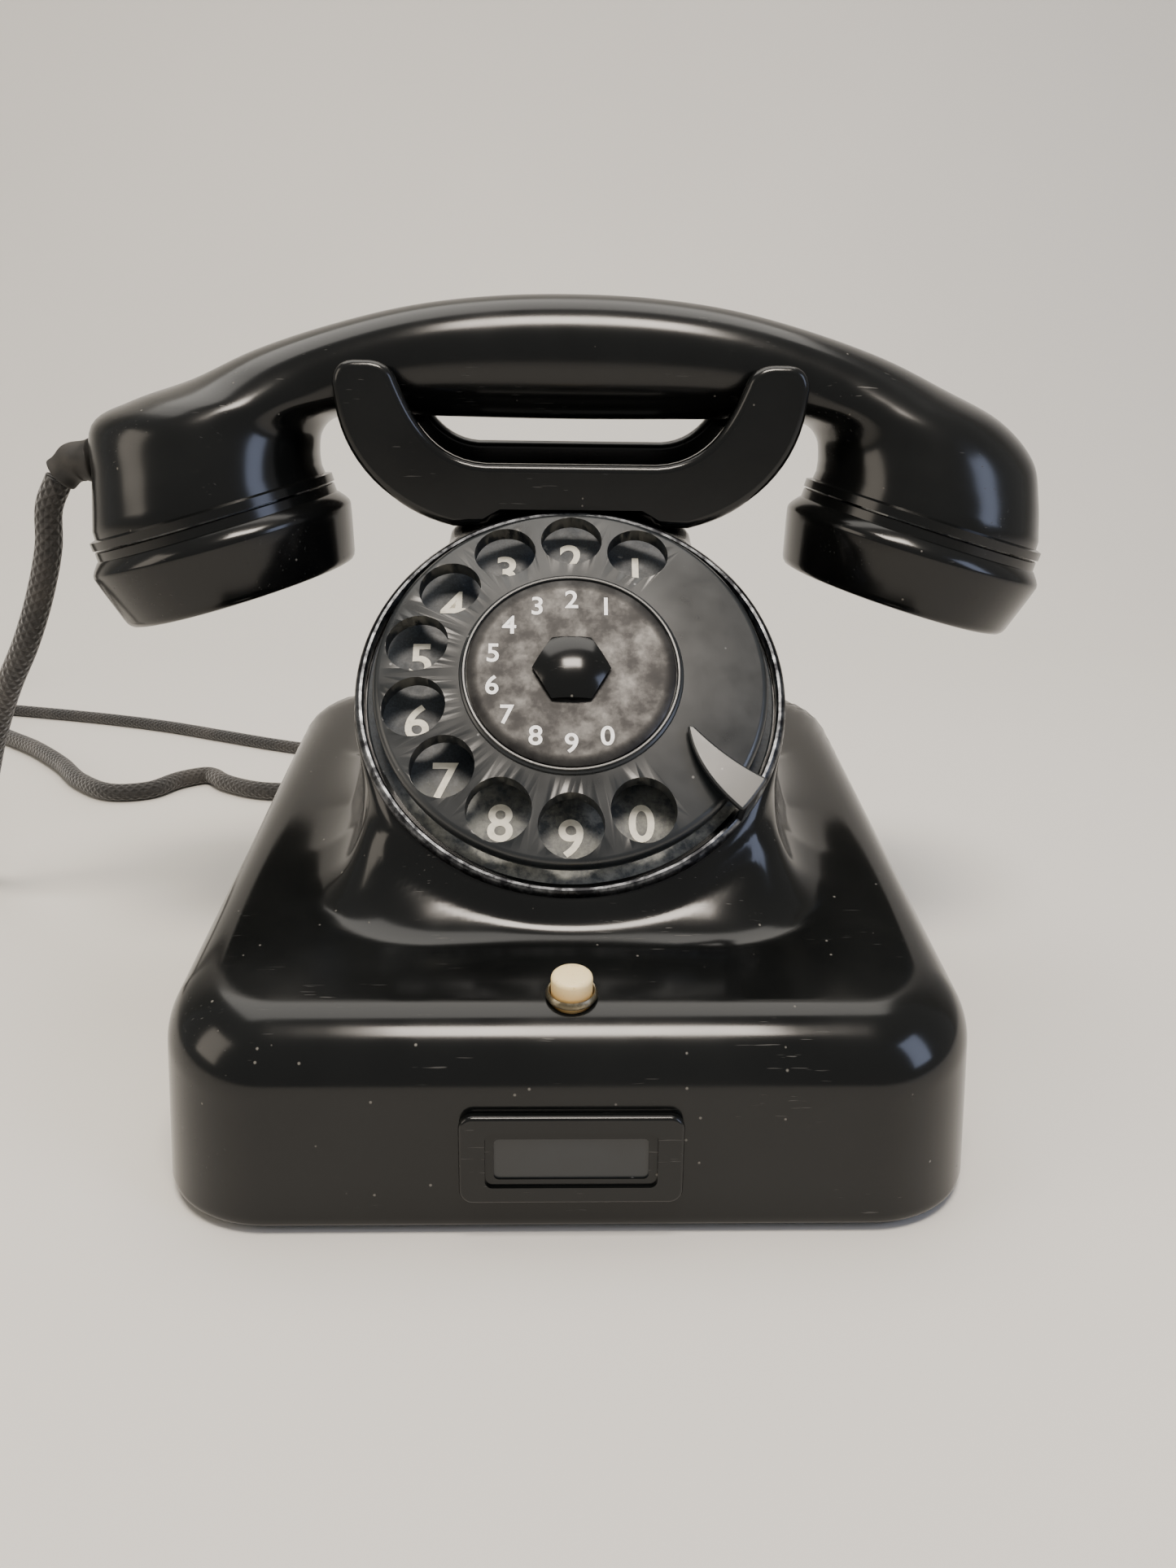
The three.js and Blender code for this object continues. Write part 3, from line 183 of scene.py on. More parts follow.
# ---- Helpers for objects ------------------------------------------------------------------------------
def only(obj):
    """Selects one object and nothing else."""
    bpy.ops.object.select_all(action="DESELECT")
    obj.select_set(True)
    bpy.context.view_layer.objects.active = obj
    return obj


def named(name):
    """The object that an operator just added, under its own name."""
    obj = bpy.context.active_object
    obj.name = obj.data.name = name
    return only(obj)


def mesh_object(name, points, faces, edges=()):
    """An object from points in millimetres."""
    mesh = bpy.data.meshes.new(name)
    mesh.from_pydata([tuple(float(v) * MM for v in p) for p in points], edges, faces)
    obj = bpy.data.objects.new(name, mesh)
    bpy.context.scene.collection.objects.link(obj)
    return only(obj)


def place(obj, matrix=None):
    """Moves an object by a matrix and puts its place into its mesh."""
    only(obj)
    if matrix is not None:
        obj.matrix_world = matrix @ obj.matrix_world
        bpy.context.view_layer.update()
    bpy.ops.object.transform_apply(location=True, rotation=True, scale=True)
    return obj


def modify(obj, kind, **settings):
    """Adds a modifier and applies it."""
    only(obj)
    modifier = obj.modifiers.new(kind, kind)
    for key, value in settings.items():
        setattr(modifier, key, value)
    bpy.ops.object.modifier_apply(modifier=modifier.name)
    return obj


def boolean(obj, tool, operation="DIFFERENCE", solver="EXACT"):
    """Cuts or joins with another object, which is used up."""
    modify(obj, "BOOLEAN", object=tool, operation=operation, solver=solver)
    bpy.data.objects.remove(tool, do_unlink=True)
    if not obj.data.polygons:
        raise RuntimeError(f"nothing is left of {obj.name}")
    return obj


def bevel(obj, width, segments=3, angle=35):
    """Rounds the edges that are sharper than the angle. The width is in millimetres."""
    return modify(
        obj,
        "BEVEL",
        width=width * MM,
        segments=segments,
        limit_method="ANGLE",
        angle_limit=math.radians(angle),
        use_clamp_overlap=True,
    )


def smooth(obj, angle=40):
    """Shades smooth apart from edges sharper than the angle."""
    only(obj)
    bpy.ops.object.shade_smooth_by_angle(angle=math.radians(angle))
    return obj


def even(obj):
    """Makes the large faces lead the shading, so that flat ones look flat."""
    return modify(obj, "WEIGHTED_NORMAL", mode="FACE_AREA_WITH_ANGLE", weight=100, keep_sharp=True)


def outwards(obj):
    """Merges doubles and turns every face out."""
    only(obj)
    bpy.ops.object.mode_set(mode="EDIT")
    bpy.ops.mesh.select_all(action="SELECT")
    bpy.ops.mesh.remove_doubles(threshold=1e-6)
    bpy.ops.mesh.normals_make_consistent(inside=False)
    bpy.ops.object.mode_set(mode="OBJECT")
    return obj


def turned(name, outline, steps=96):
    """A turned piece about +Z: an outline of (radius, height) in millimetres, spun all the way round."""
    closed = outline[0][0] > 0 and outline[-1][0] > 0
    edges = [(i, i + 1) for i in range(len(outline) - 1)]
    if closed:
        edges.append((len(outline) - 1, 0))
    obj = mesh_object(name, [(radius, 0, height) for radius, height in outline], [], edges)
    bpy.ops.object.mode_set(mode="EDIT")
    bpy.ops.mesh.select_all(action="SELECT")
    bpy.ops.mesh.spin(steps=steps, angle=2 * math.pi, center=(0, 0, 0), axis=(0, 0, 1))
    bpy.ops.object.mode_set(mode="OBJECT")
    return outwards(obj)


def cylinder(name, radius, bottom, top, x=0, y=0, sides=64):
    """A cylinder along +Z, in millimetres."""
    bpy.ops.mesh.primitive_cylinder_add(
        vertices=sides,
        radius=radius * MM,
        depth=(top - bottom) * MM,
        location=(x * MM, y * MM, (top + bottom) / 2 * MM),
    )
    return place(named(name))


def block(name, size, centre):
    """A box of a size and centre in millimetres."""
    bpy.ops.mesh.primitive_cube_add(size=1, location=[v * MM for v in centre])
    obj = named(name)
    obj.scale = [v * MM for v in size]
    return place(obj)


def prism(name, outline, bottom, top):
    """An outline in the XY plane, extruded up +Z, in millimetres."""
    obj = mesh_object(name, [(x, y, bottom) for x, y in outline], [tuple(range(len(outline)))])
    bpy.ops.object.mode_set(mode="EDIT")
    bpy.ops.mesh.select_all(action="SELECT")
    move = {"value": (0, 0, (top - bottom) * MM)}
    bpy.ops.mesh.extrude_region_move(TRANSFORM_OT_translate=move)
    bpy.ops.object.mode_set(mode="OBJECT")
    return outwards(obj)


def on_circle(radius, degrees):
    """A point of a circle about the origin."""
    angle = math.radians(degrees)
    return radius * math.cos(angle), radius * math.sin(angle)


def arc(centre, radius, start, end, steps):
    """Points of an arc, by angles in degrees."""
    angles = np.radians(np.linspace(start, end, steps + 1))
    return [(centre[0] + radius * math.cos(a), centre[1] + radius * math.sin(a)) for a in angles]


def rounded_rectangle(width, height, radius, steps=8):
    """The outline of a rectangle with round corners."""
    w, h = width / 2 - radius, height / 2 - radius
    corners = [(w, -h, -90), (w, h, 0), (-w, h, 90), (-w, -h, 180)]
    return [p for x, y, start in corners for p in arc((x, y), radius, start, start + 90, steps)]


def curve_through(points, step):
    """A smooth line through points, as many short steps of about the given length."""
    p = np.array(points, float)
    p = np.vstack([2 * p[0] - p[1], p, 2 * p[-1] - p[-2]])
    line = []
    for i in range(1, len(p) - 2):
        a, b, c, d = p[i - 1 : i + 3]
        t0, t1, t2, t3 = np.cumsum([0] + [np.linalg.norm(v) ** 0.5 for v in (b - a, c - b, d - c)])
        count = max(int(np.linalg.norm(c - b) / step), 1)
        for t in np.linspace(t1, t2, count, endpoint=False):
            ab = (t1 - t) / (t1 - t0) * a + (t - t0) / (t1 - t0) * b
            bc = (t2 - t) / (t2 - t1) * b + (t - t1) / (t2 - t1) * c
            cd = (t3 - t) / (t3 - t2) * c + (t - t2) / (t3 - t2) * d
            abc = (t2 - t) / (t2 - t0) * ab + (t - t0) / (t2 - t0) * bc
            bcd = (t3 - t) / (t3 - t1) * bc + (t - t1) / (t3 - t1) * cd
            line.append((t2 - t) / (t2 - t1) * abc + (t - t1) / (t2 - t1) * bcd)
    return np.array(line + [p[-2]])


def swept(name, path, radii, sides=16):
    """A tube along a path, with a radius for each point and flat ends, in millimetres. Its UV map holds the
    distance along it in millimetres and the share of the way round."""
    tangents = np.gradient(path, axis=0)
    tangents /= np.linalg.norm(tangents, axis=1)[:, None]
    side = np.cross(tangents[0], (0, 0, 1) if abs(tangents[0][2]) < 0.9 else (1, 0, 0))
    points, along = [], np.r_[0, np.cumsum(np.linalg.norm(np.diff(path, axis=0), axis=1))]
    for centre, tangent, radius in zip(path, tangents, radii):
        side = side - tangent * side.dot(tangent)
        side /= np.linalg.norm(side)
        up = np.cross(tangent, side)
        for k in range(sides):
            angle = 2 * math.pi * k / sides
            points.append(centre + radius * (math.cos(angle) * side + math.sin(angle) * up))
    faces = []
    for i in range(len(path) - 1):
        for k in range(sides):
            a, b = i * sides + k, i * sides + (k + 1) % sides
            faces.append((a, b, b + sides, a + sides))
    last = (len(path) - 1) * sides
    faces += [tuple(reversed(range(sides))), tuple(range(last, last + sides))]
    obj = mesh_object(name, points, faces)
    uv = obj.data.uv_layers.new(name="Along")
    for polygon in obj.data.polygons:
        for loop, vertex in zip(polygon.loop_indices, polygon.vertices):
            around = (vertex % sides) / sides
            if around == 0 and any(v % sides == sides - 1 for v in polygon.vertices):
                around = 1
            uv.data[loop].uv = (along[vertex // sides], around)
    return smooth(obj, 60)


def join(first, *others):
    """Joins objects into the first one's mesh."""
    only(first)
    for other in others:
        other.select_set(True)
    bpy.ops.object.join()
    return only(first)


def dress(obj, material, body, slot, *nodes):
    """Gives a finished piece its material, its body and the CAD nodes that it stands for, which it hides. The
    slot is not used.
    """
    obj.data.materials.clear()
    obj.data.materials.append(material)
    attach(obj, body)
    if nodes:
        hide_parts(*nodes)
    return obj


# ---- Materials ----------------------------------------------------------------------------------------
def add_node(tree, kind, settings=None, links=None):
    """Adds a shader node with its settings and the sockets that feed it."""
    node = tree.nodes.new(kind)
    for key, value in (settings or {}).items():
        if isinstance(key, str) and hasattr(node, key):
            setattr(node, key, value)
        else:
            node.inputs[key].default_value = value
    for key, source in (links or {}).items():
        tree.links.new(source, node.inputs[key])
    return node


def new_material(name, **settings):
    """A material and its node tree. The Principled shader's own sockets hold the constant values."""
    material = bpy.data.materials.new(name)
    material.use_nodes = True
    tree = material.node_tree
    shader = tree.nodes["Principled BSDF"]
    for key, value in settings.items():
        shader.inputs[key.replace("_", " ")].default_value = value
    return material, tree


def opaque(values):
    """A colour with its alpha."""
    return (*values[:3], 1)


def finish(material, colour, roughness, height=None, strength=0.0, depth=0.0):
    """Feeds a shader its colour, its roughness and a bump of a depth in millimetres."""
    tree = material.node_tree
    shader = tree.nodes["Principled BSDF"]
    tree.links.new(colour, shader.inputs["Base Color"])
    tree.links.new(roughness, shader.inputs["Roughness"])
    if height:
        settings = {"Strength": strength, "Distance": depth * MM}
        bump = add_node(tree, "ShaderNodeBump", settings, {"Height": height})
        tree.links.new(bump.outputs[0], shader.inputs["Normal"])
    return material


def tint(hex_colour):
    """An opaque colour from an sRGB hex value."""
    return opaque(linear(hex_colour))


def scaled(colour, share):
    """A colour made darker or lighter, with its alpha."""
    return opaque([v * share for v in colour])


def object_space(tree, scale=(1, 1, 1), rotation=(0, 0, 0)):
    """Object coordinates in metres, through a Mapping node."""
    source = add_node(tree, "ShaderNodeTexCoord")
    settings = {"Scale": scale, "Rotation": rotation}
    return add_node(tree, "ShaderNodeMapping", settings, {"Vector": source.outputs["Object"]}).outputs[0]


def over_table(tree):
    """The height over the table, in metres."""
    return add_node(tree, "ShaderNodeSeparateXYZ", {}, {"Vector": object_space(tree)}).outputs["Z"]


def noise(tree, millimetre_size, detail=3, roughness=0.55, scale=(1, 1, 1), rotation=(0, 0, 0)):
    """Noise whose blotches are about a size in millimetres, longer along an axis of a small scale."""
    settings = {"Scale": 1 / (millimetre_size * MM), "Detail": detail, "Roughness": roughness}
    vector = object_space(tree, scale, rotation)
    return add_node(tree, "ShaderNodeTexNoise", settings, {"Vector": vector}).outputs["Fac"]


def spread(tree, value, low, high, out_low=0.0, out_high=1.0):
    """Stretches a range of values to another."""
    settings = {"From Min": low, "From Max": high, "To Min": out_low, "To Max": out_high}
    return add_node(tree, "ShaderNodeMapRange", settings, {"Value": value}).outputs["Result"]


def combine(tree, operation, first, second):
    """A Math node of two values, each a socket or a number."""
    node = add_node(tree, "ShaderNodeMath", {"operation": operation})
    for i, value in enumerate((first, second)):
        if isinstance(value, (int, float)):
            node.inputs[i].default_value = value
        else:
            tree.links.new(value, node.inputs[i])
    return node.outputs[0]


def blended(tree, factor, first, second):
    """A mix of two colours, each a socket or a colour."""
    node = add_node(tree, "ShaderNodeMix", {"data_type": "RGBA"}, {"Factor": factor})
    for socket, value in ((node.inputs[6], first), (node.inputs[7], second)):
        if isinstance(value, tuple):
            socket.default_value = value
        else:
            tree.links.new(value, socket)
    return node.outputs[2]


def specks(tree, spacing, share):
    """Small grains of dust, spaced at random about so many millimetres apart, over a share of the cells."""
    settings = {"Scale": 1 / (spacing * MM), "Randomness": 1.0}
    grains = add_node(tree, "ShaderNodeTexVoronoi", settings, {"Vector": object_space(tree)})
    dot = spread(tree, grains.outputs["Distance"], 0.07, 0.13, 1, 0)
    pick = add_node(tree, "ShaderNodeSeparateColor", {}, {"Color": grains.outputs["Color"]})
    chosen = combine(tree, "LESS_THAN", pick.outputs[0], share)
    return combine(tree, "MULTIPLY", dot, chosen)


def scratches(tree, spacing, rotation):
    """Hairline scratches along one direction, as the rare crests of a stretched noise."""
    lines = noise(tree, spacing, detail=2, scale=(0.04, 1, 0.6), rotation=rotation)
    patch = noise(tree, 22, detail=1)
    crest = spread(tree, lines, 0.705, 0.74)
    return combine(tree, "MULTIPLY", crest, spread(tree, patch, 0.5, 0.62))


def polished_bakelite(name, base, roughness=0.1, dust=0.1):
    """Phenolic resin pressed in a polished mould, then years of hands and dust: a black gloss with faint
    cloudiness, hairlines that catch the light, and pale grains of dust."""
    material, tree = new_material(name, IOR=1.5, Specular_IOR_Level=0.38)
    cloud = noise(tree, 35, detail=4)
    grains = specks(tree, 2.6, dust)
    hair = combine(
        tree, "MAXIMUM", scratches(tree, 0.35, (0.3, 0.2, 0.7)), scratches(tree, 0.42, (1.1, -0.4, 2.1))
    )
    deep = blended(tree, spread(tree, cloud, 0.35, 0.7), opaque(base), scaled(base, 1.7))
    marked = blended(tree, combine(tree, "MULTIPLY", hair, 0.16), deep, tint("8c8a86"))
    dusty = blended(tree, combine(tree, "MULTIPLY", grains, 0.3), marked, tint("a8a49b"))
    gloss = spread(tree, cloud, 0.3, 0.75, roughness, roughness + 0.1)
    marks = combine(tree, "MAXIMUM", grains, hair)
    worn = combine(tree, "ADD", gloss, combine(tree, "MULTIPLY", marks, 0.35))
    ripple = noise(tree, 9, detail=2)
    shallow = combine(tree, "MULTIPLY", ripple, 0.25)
    height = combine(tree, "ADD", shallow, combine(tree, "MULTIPLY", grains, 0.5))
    return finish(material, dusty, worn, height, 0.12, 0.1)


def satin_phenolic(name, base):
    """Phenolic rubbed dull by fingers: dark grey satin, slightly uneven, with dust in the hollows."""
    material, tree = new_material(name, IOR=1.58)
    rub = noise(tree, 14, detail=5)
    grains = specks(tree, 2.8, 0.09)
    tone = blended(tree, spread(tree, rub, 0.3, 0.75), opaque(base), scaled(base, 1.9))
    dusty = blended(tree, combine(tree, "MULTIPLY", grains, 0.6), tone, tint("8f9090"))
    fine = noise(tree, 0.5, detail=2)
    return finish(material, dusty, spread(tree, rub, 0.3, 0.75, 0.26, 0.4), fine, 0.06, 0.05)


def enamelled_plate(name, base):
    """Stoved enamel on sheet metal, worn by fingertips: blue-grey, mottled, with pale chips, and pale patches
    round the lowest holes that are a painted reflection.
    """
    material, tree = new_material(name, IOR=1.4)
    wear = noise(tree, 3.2, detail=6, roughness=0.7)
    fine = noise(tree, 0.45, detail=3)
    tone = blended(tree, spread(tree, fine, 0.35, 0.7), opaque(base), scaled(base, 2.1))
    # Pale patches round the lowest holes are a painted reflection, placed by height below the dial's middle;
    # the scattered chips are wear.
    low = spread(tree, over_table(tree), DIAL_CENTRE.z - 22 * MM, DIAL_CENTRE.z - 15 * MM, 1, 0)
    # rubbed holds the painted reflection's pale patches, masked to the lowest holes.
    rubbed = combine(tree, "MULTIPLY", spread(tree, wear, 0.4, 0.62, 0.15, 0.85), low)
    chips_and_painted_reflection = combine(tree, "MAXIMUM", rubbed, spread(tree, wear, 0.64, 0.72, 0, 0.5))
    # Pale where the enamel is chipped, and where the painted reflection lies.
    pale_chips_and_painted_reflection = blended(tree, chips_and_painted_reflection, tone, tint("8c8d86"))
    return finish(material, pale_chips_and_painted_reflection, spread(tree, wear, 0.4, 0.7, 0.42, 0.6), wear, 0.25, 0.05)


def aged_metal(name, base, worn, roughness=0.35, metallic=1.0, patch=6.0):
    """Rolled or turned metal with an oxide film: a duller tone broken by patches rubbed bright."""
    material, tree = new_material(name, Metallic=metallic)
    wear = noise(tree, patch, detail=6, roughness=0.65)
    tone = blended(tree, spread(tree, wear, 0.42, 0.66), tint(base), tint(worn))
    dullness = spread(tree, wear, 0.3, 0.7, roughness + 0.12, roughness - 0.06)
    grain = noise(tree, 0.4, detail=3, scale=(1, 1, 0.1))
    return finish(material, tone, dullness, grain, 0.08, 0.05)


def yellowed_casein(name, base):
    """Cast casein gone yellow: soft light inside, a matt top and a side that turns browner towards its foot.
    """
    material, tree = new_material(
        name, IOR=1.53, Subsurface_Weight=0.25, Subsurface_Scale=1.5 * MM, Subsurface_Radius=(1.0, 0.7, 0.35)
    )
    _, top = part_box("earth_button")
    # The side turns browner towards its foot, by height over the table.
    browner_towards_foot = spread(tree, over_table(tree), top.z - 4.2 * MM, top.z - 1.0 * MM, 0.85, 0)
    spots = noise(tree, 0.9, detail=4)
    tone = blended(tree, browner_towards_foot, opaque(base), tint("cfa766"))
    spotted = blended(tree, spread(tree, spots, 0.6, 0.75, 0, 0.5), tone, tint("b58f58"))
    return finish(material, spotted, spread(tree, spots, 0.3, 0.7, 0.32, 0.5))


def braided_cotton(name, base):
    """Glazed cotton braided over the wires: crossing strands a millimetre wide, each with a soft shine."""
    material, tree = new_material(name, Sheen_Weight=0.35, Sheen_Roughness=0.5)
    source = add_node(tree, "ShaderNodeUVMap", {"uv_map": "Along"}).outputs[0]
    parts = add_node(tree, "ShaderNodeSeparateXYZ", {}, {"Vector": source})
    around = 8  # strands each way
    pitch = 2 * math.pi / 7.5  # one strand's way round takes 7.5 mm of cord
    turn = combine(tree, "MULTIPLY", parts.outputs["Y"], 2 * math.pi * around)
    advance = combine(tree, "MULTIPLY", parts.outputs["X"], pitch * around / 3)
    one = combine(tree, "SINE", combine(tree, "ADD", turn, advance), 0)
    other = combine(tree, "SINE", combine(tree, "SUBTRACT", turn, advance), 0)
    weave = combine(tree, "MAXIMUM", one, other)
    fuzz = noise(tree, 0.6, detail=4)
    long_tone = noise(tree, 25, detail=3)
    strand = blended(tree, spread(tree, weave, -0.2, 1), scaled(base, 0.35), opaque(base))
    faded = blended(tree, spread(tree, long_tone, 0.45, 0.7, 0, 0.5), strand, tint("4a4540"))
    height = combine(tree, "ADD", weave, combine(tree, "MULTIPLY", fuzz, 0.5))
    return finish(material, faded, spread(tree, fuzz, 0.3, 0.7, 0.6, 0.85), height, 0.8, 0.25)


def old_rubber(name):
    """Black rubber with a grey bloom, matt and faintly grained."""
    material, tree = new_material(name, IOR=1.52)
    bloom = noise(tree, 5, detail=5)
    tone = blended(tree, spread(tree, bloom, 0.4, 0.7), tint("171615"), tint("33312e"))
    grain = noise(tree, 0.4, detail=3)
    return finish(material, tone, spread(tree, bloom, 0.3, 0.7, 0.55, 0.8), grain, 0.2, 0.08)


def printed_digits(name, base, roughness):
    """Filled digits in thick paint, slightly soiled."""
    material, tree = new_material(name)
    soil = noise(tree, 1.2, detail=5)
    tone = blended(tree, spread(tree, soil, 0.5, 0.8, 0, 0.35), opaque(base), tint("a39a80"))
    return finish(material, tone, spread(tree, soil, 0.3, 0.7, roughness, roughness + 0.15))


def studio_floor(name, base):
    """A plain matt floor."""
    material, tree = new_material(name)
    tone = noise(tree, 300, detail=2)
    shade = blended(tree, spread(tree, tone, 0.3, 0.7), opaque(base), scaled(base, 0.97))
    return finish(material, shade, spread(tree, tone, 0.3, 0.7, 0.7, 0.8))


MATERIALS = {}


class TELEPHONE_OT_materials(bpy.types.Operator):
    """Makes every finish and gives the inner CAD pieces theirs"""

    bl_idname = "telephone.materials"
    bl_label = "Materials"

    def execute(self, context):
        c = context.scene.tele_colours
        MATERIALS.update(
            bakelite=polished_bakelite("Polished bakelite", tuple(c.bakelite)),
            handled=polished_bakelite("Handled bakelite", tuple(c.bakelite), roughness=0.14, dust=0.06),
            satin=satin_phenolic("Satin phenolic", tuple(c.wheel)),
            # The number ring's enamel carries a painted reflection round its lowest holes.
            plate=enamelled_plate("Worn enamel and painted reflection", tuple(c.plate)),
            bezel=aged_metal("Blackened zinc", "26272a", "6f7276", roughness=0.32, patch=3),
            collar=aged_metal("Tarnished nickel silver", "6f6857", "a9a08a", roughness=0.36, patch=2),
            steel=aged_metal("Bright steel sheet", "8a8c8d", "b2b4b4"),
            brass=aged_metal("Stamped brass", "8f6f34", "c9a45a", roughness=0.3),
            copper=aged_metal("Copper winding", "7a3f26", "b36a44", roughness=0.38, patch=2),
            lacquer=aged_metal("Black lacquered steel", "1c1b1b", "3b3a39", roughness=0.4, metallic=0.6),
            rubber=old_rubber("Old rubber"),
            button=yellowed_casein("Yellowed casein", tuple(c.button)),
            digits=printed_digits("Cream digit paint", tuple(c.digits), 0.4),
            small_digits=printed_digits("White digit paint", tuple(c.small_digits), 0.35),
            handset_cord=braided_cotton("Braided cotton", tuple(c.textile)),
            line_cord=braided_cotton("Braided cotton, thin", tuple(c.textile)),
            floor=studio_floor("Studio floor", tuple(c.floor)),
        )
        finish_of_slot = {
            "black_bakelite": "bakelite",
            "wheel_plastic": "satin",
            "steel": "steel",
            "brass": "brass",
            "dark_metal": "lacquer",
            "contact_copper": "copper",
            "rubber": "rubber",
            "textile": "handset_cord",
            "ivory_plastic": "button",
            "number_card": "plate",
        }
        for part in frame["record"]["subparts"]:
            node = frame["nodes"][part["node"]]
            node.data.materials.clear()
            node.data.materials.append(MATERIALS[finish_of_slot[part["material_slot"]]])
        card = frame["nodes"]["label_card"]
        card.data.materials.clear()
        card.data.materials.append(MATERIALS["satin"])
        return {"FINISHED"}


# ---- Camera, lights and floor -------------------------------------------------------------------------
class TELEPHONE_OT_stage(bpy.types.Operator):
    """Sets up the camera, soft lights and a pale floor that curves up behind"""

    bl_idname = "telephone.stage"
    bl_label = "Stage"

    def execute(self, context):
        self.camera(context)
        self.lights(context)
        self.floor(context)
        return {"FINISHED"}

    def camera(self, context):
        yaw, pitch, roll = (math.radians(angle) for angle in (1.59, 19.5, 0.8))
        forward = Vector(
            (math.sin(yaw) * math.cos(pitch), math.cos(yaw) * math.cos(pitch), -math.sin(pitch))
        )
        level = Vector((math.cos(yaw), -math.sin(yaw), 0))
        right = level * math.cos(roll) + level.cross(forward) * math.sin(roll)
        bpy.ops.object.camera_add(location=(-0.0027, -0.2605, 0.1509))
        camera = context.active_object
        camera.name = "Camera"
        camera.data.lens = 25.97
        camera.data.sensor_width = 36
        camera.data.clip_start = 0.01
        camera.rotation_mode = "QUATERNION"
        axes = Matrix((right, right.cross(forward), -forward)).transposed()
        camera.rotation_quaternion = axes.to_quaternion()
        context.scene.camera = camera

    def lights(self, context):
        target = Vector((0, 0, 0.08))
        soft_boxes = [
            ("Overhead", (0.02, -0.36, 1.05), (0.42, 0.24), 13, "fff4e6"),
            ("Ceiling", (-0.1, 0.55, 1.5), (1.6, 1.0), 16, "fffaf2"),
            ("Window", (1.25, -0.75, 0.75), (0.5, 0.9), 7, "cfdcff"),
            ("Side", (-1.3, -0.5, 0.7), (0.6, 0.8), 5, "fff2e0"),
        ]
        for name, where, size, power, hue in soft_boxes:
            bpy.ops.object.light_add(type="AREA", location=where)
            light = context.active_object
            light.name = name
            light.data.shape = "RECTANGLE"
            light.data.size, light.data.size_y = size
            light.data.energy = power
            light.data.color = linear(hue)
            light.rotation_mode = "QUATERNION"
            light.rotation_quaternion = (target - Vector(where)).to_track_quat("-Z", "Y")
        world = context.scene.world or bpy.data.worlds.new("World")
        context.scene.world = world
        world.use_nodes = True
        background = world.node_tree.nodes["Background"]
        background.inputs["Color"].default_value = tint("d6d4d0")
        background.inputs["Strength"].default_value = 0.55

    def floor(self, context):
        half_width, front, wall, height, bend = 3000, -2500, 900, 2200, 500
        line = [(front, 0)] + arc((wall - bend, bend), bend, -90, 0, 16) + [(wall, height)]
        points = [(x, y, z) for x in (-half_width, half_width) for y, z in line]
        count = len(line)
        faces = [(i, i + count, i + count + 1, i + 1) for i in range(count - 1)]
        floor = mesh_object("Floor", points, faces)
        bpy.ops.object.shade_smooth()
        floor.data.materials.append(MATERIALS["floor"])


# ---- Cords --------------------------------------------------------------------------------------------
# The routes are the frame's own, in metres.
HANDSET_ROUTE = [
    (-0.1272, 0.033, 0.1267),
    (-0.1308, 0.0334, 0.12),
    (-0.1326, 0.034, 0.11),
    (-0.1372, 0.035, 0.097),
    (-0.1432, 0.0365, 0.0845),
    (-0.151, 0.0395, 0.072),
    (-0.16, 0.045, 0.056),
    (-0.169, 0.0525, 0.038),
    (-0.1785, 0.062, 0.021),
    (-0.19, 0.0745, 0.009),
    (-0.202, 0.092, 0.00395),
    (-0.214, 0.115, 0.00335),
    (-0.23, 0.142, 0.00335),
    (-0.251, 0.166, 0.00335),
    (-0.2763, 0.1766, 0.00335),
]
RETURN_ROUTE = [
    (-0.2564, 0.2264, 0.00475),
    (-0.243, 0.2155, 0.00335),
    (-0.222, 0.1975, 0.00335),
    (-0.203, 0.177, 0.00335),
    (-0.187, 0.1565, 0.00335),
    (-0.171, 0.1445, 0.00335),
    (-0.158, 0.147, 0.00335),
    (-0.15, 0.159, 0.00335),
    (-0.1405, 0.1645, 0.00335),
    (-0.131, 0.1555, 0.00335),
    (-0.117, 0.1475, 0.00335),
    (-0.097, 0.145, 0.00335),
    (-0.075, 0.14, 0.00395),
    (-0.058, 0.1305, 0.0056),
    (-0.0482, 0.1235, 0.0082),
    (-0.0464, 0.1162, 0.0102),
]
LINE_ROUTE = [
    (-0.0089, 0.1162, 0.0096),
    (-0.0106, 0.124, 0.0074),
    (-0.0155, 0.136, 0.0042),
    (-0.026, 0.151, 0.0029),
    (-0.045, 0.168, 0.0026),
    (-0.07, 0.183, 0.0026),
    (-0.097, 0.196, 0.0026),
    (-0.124, 0.207, 0.0026),
    (-0.15, 0.2195, 0.0026),
    (-0.177, 0.2325, 0.0026),
    (-0.206, 0.2435, 0.0026),
    (-0.236, 0.2525, 0.0026),
    (-0.265, 0.26, 0.0026),
    (-0.29, 0.2646, 0.0026),
    (-0.31, 0.266, 0.0026),
]
PLUG_ROUTE = [
    (-0.352, 0.266, 0.0165),
    (-0.364, 0.265, 0.012),
    (-0.373, 0.263, 0.0094),
    (-0.38, 0.2625, 0.0087),
]


CORD_STEP = 1.6  # between the rings of a cord's mesh
TURN_POINTS = 24  # of a coil's route
FLOOR_ROOM = 0.1  # under a cord


def middle_of(node):
    """The middle of a CAD node's box, in millimetres."""
    low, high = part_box(node)
    return (low + high) / 2 / MM


def in_millimetres(route):
    """A route's points, turned from metres."""
    return [Vector(point) / MM for point in route]


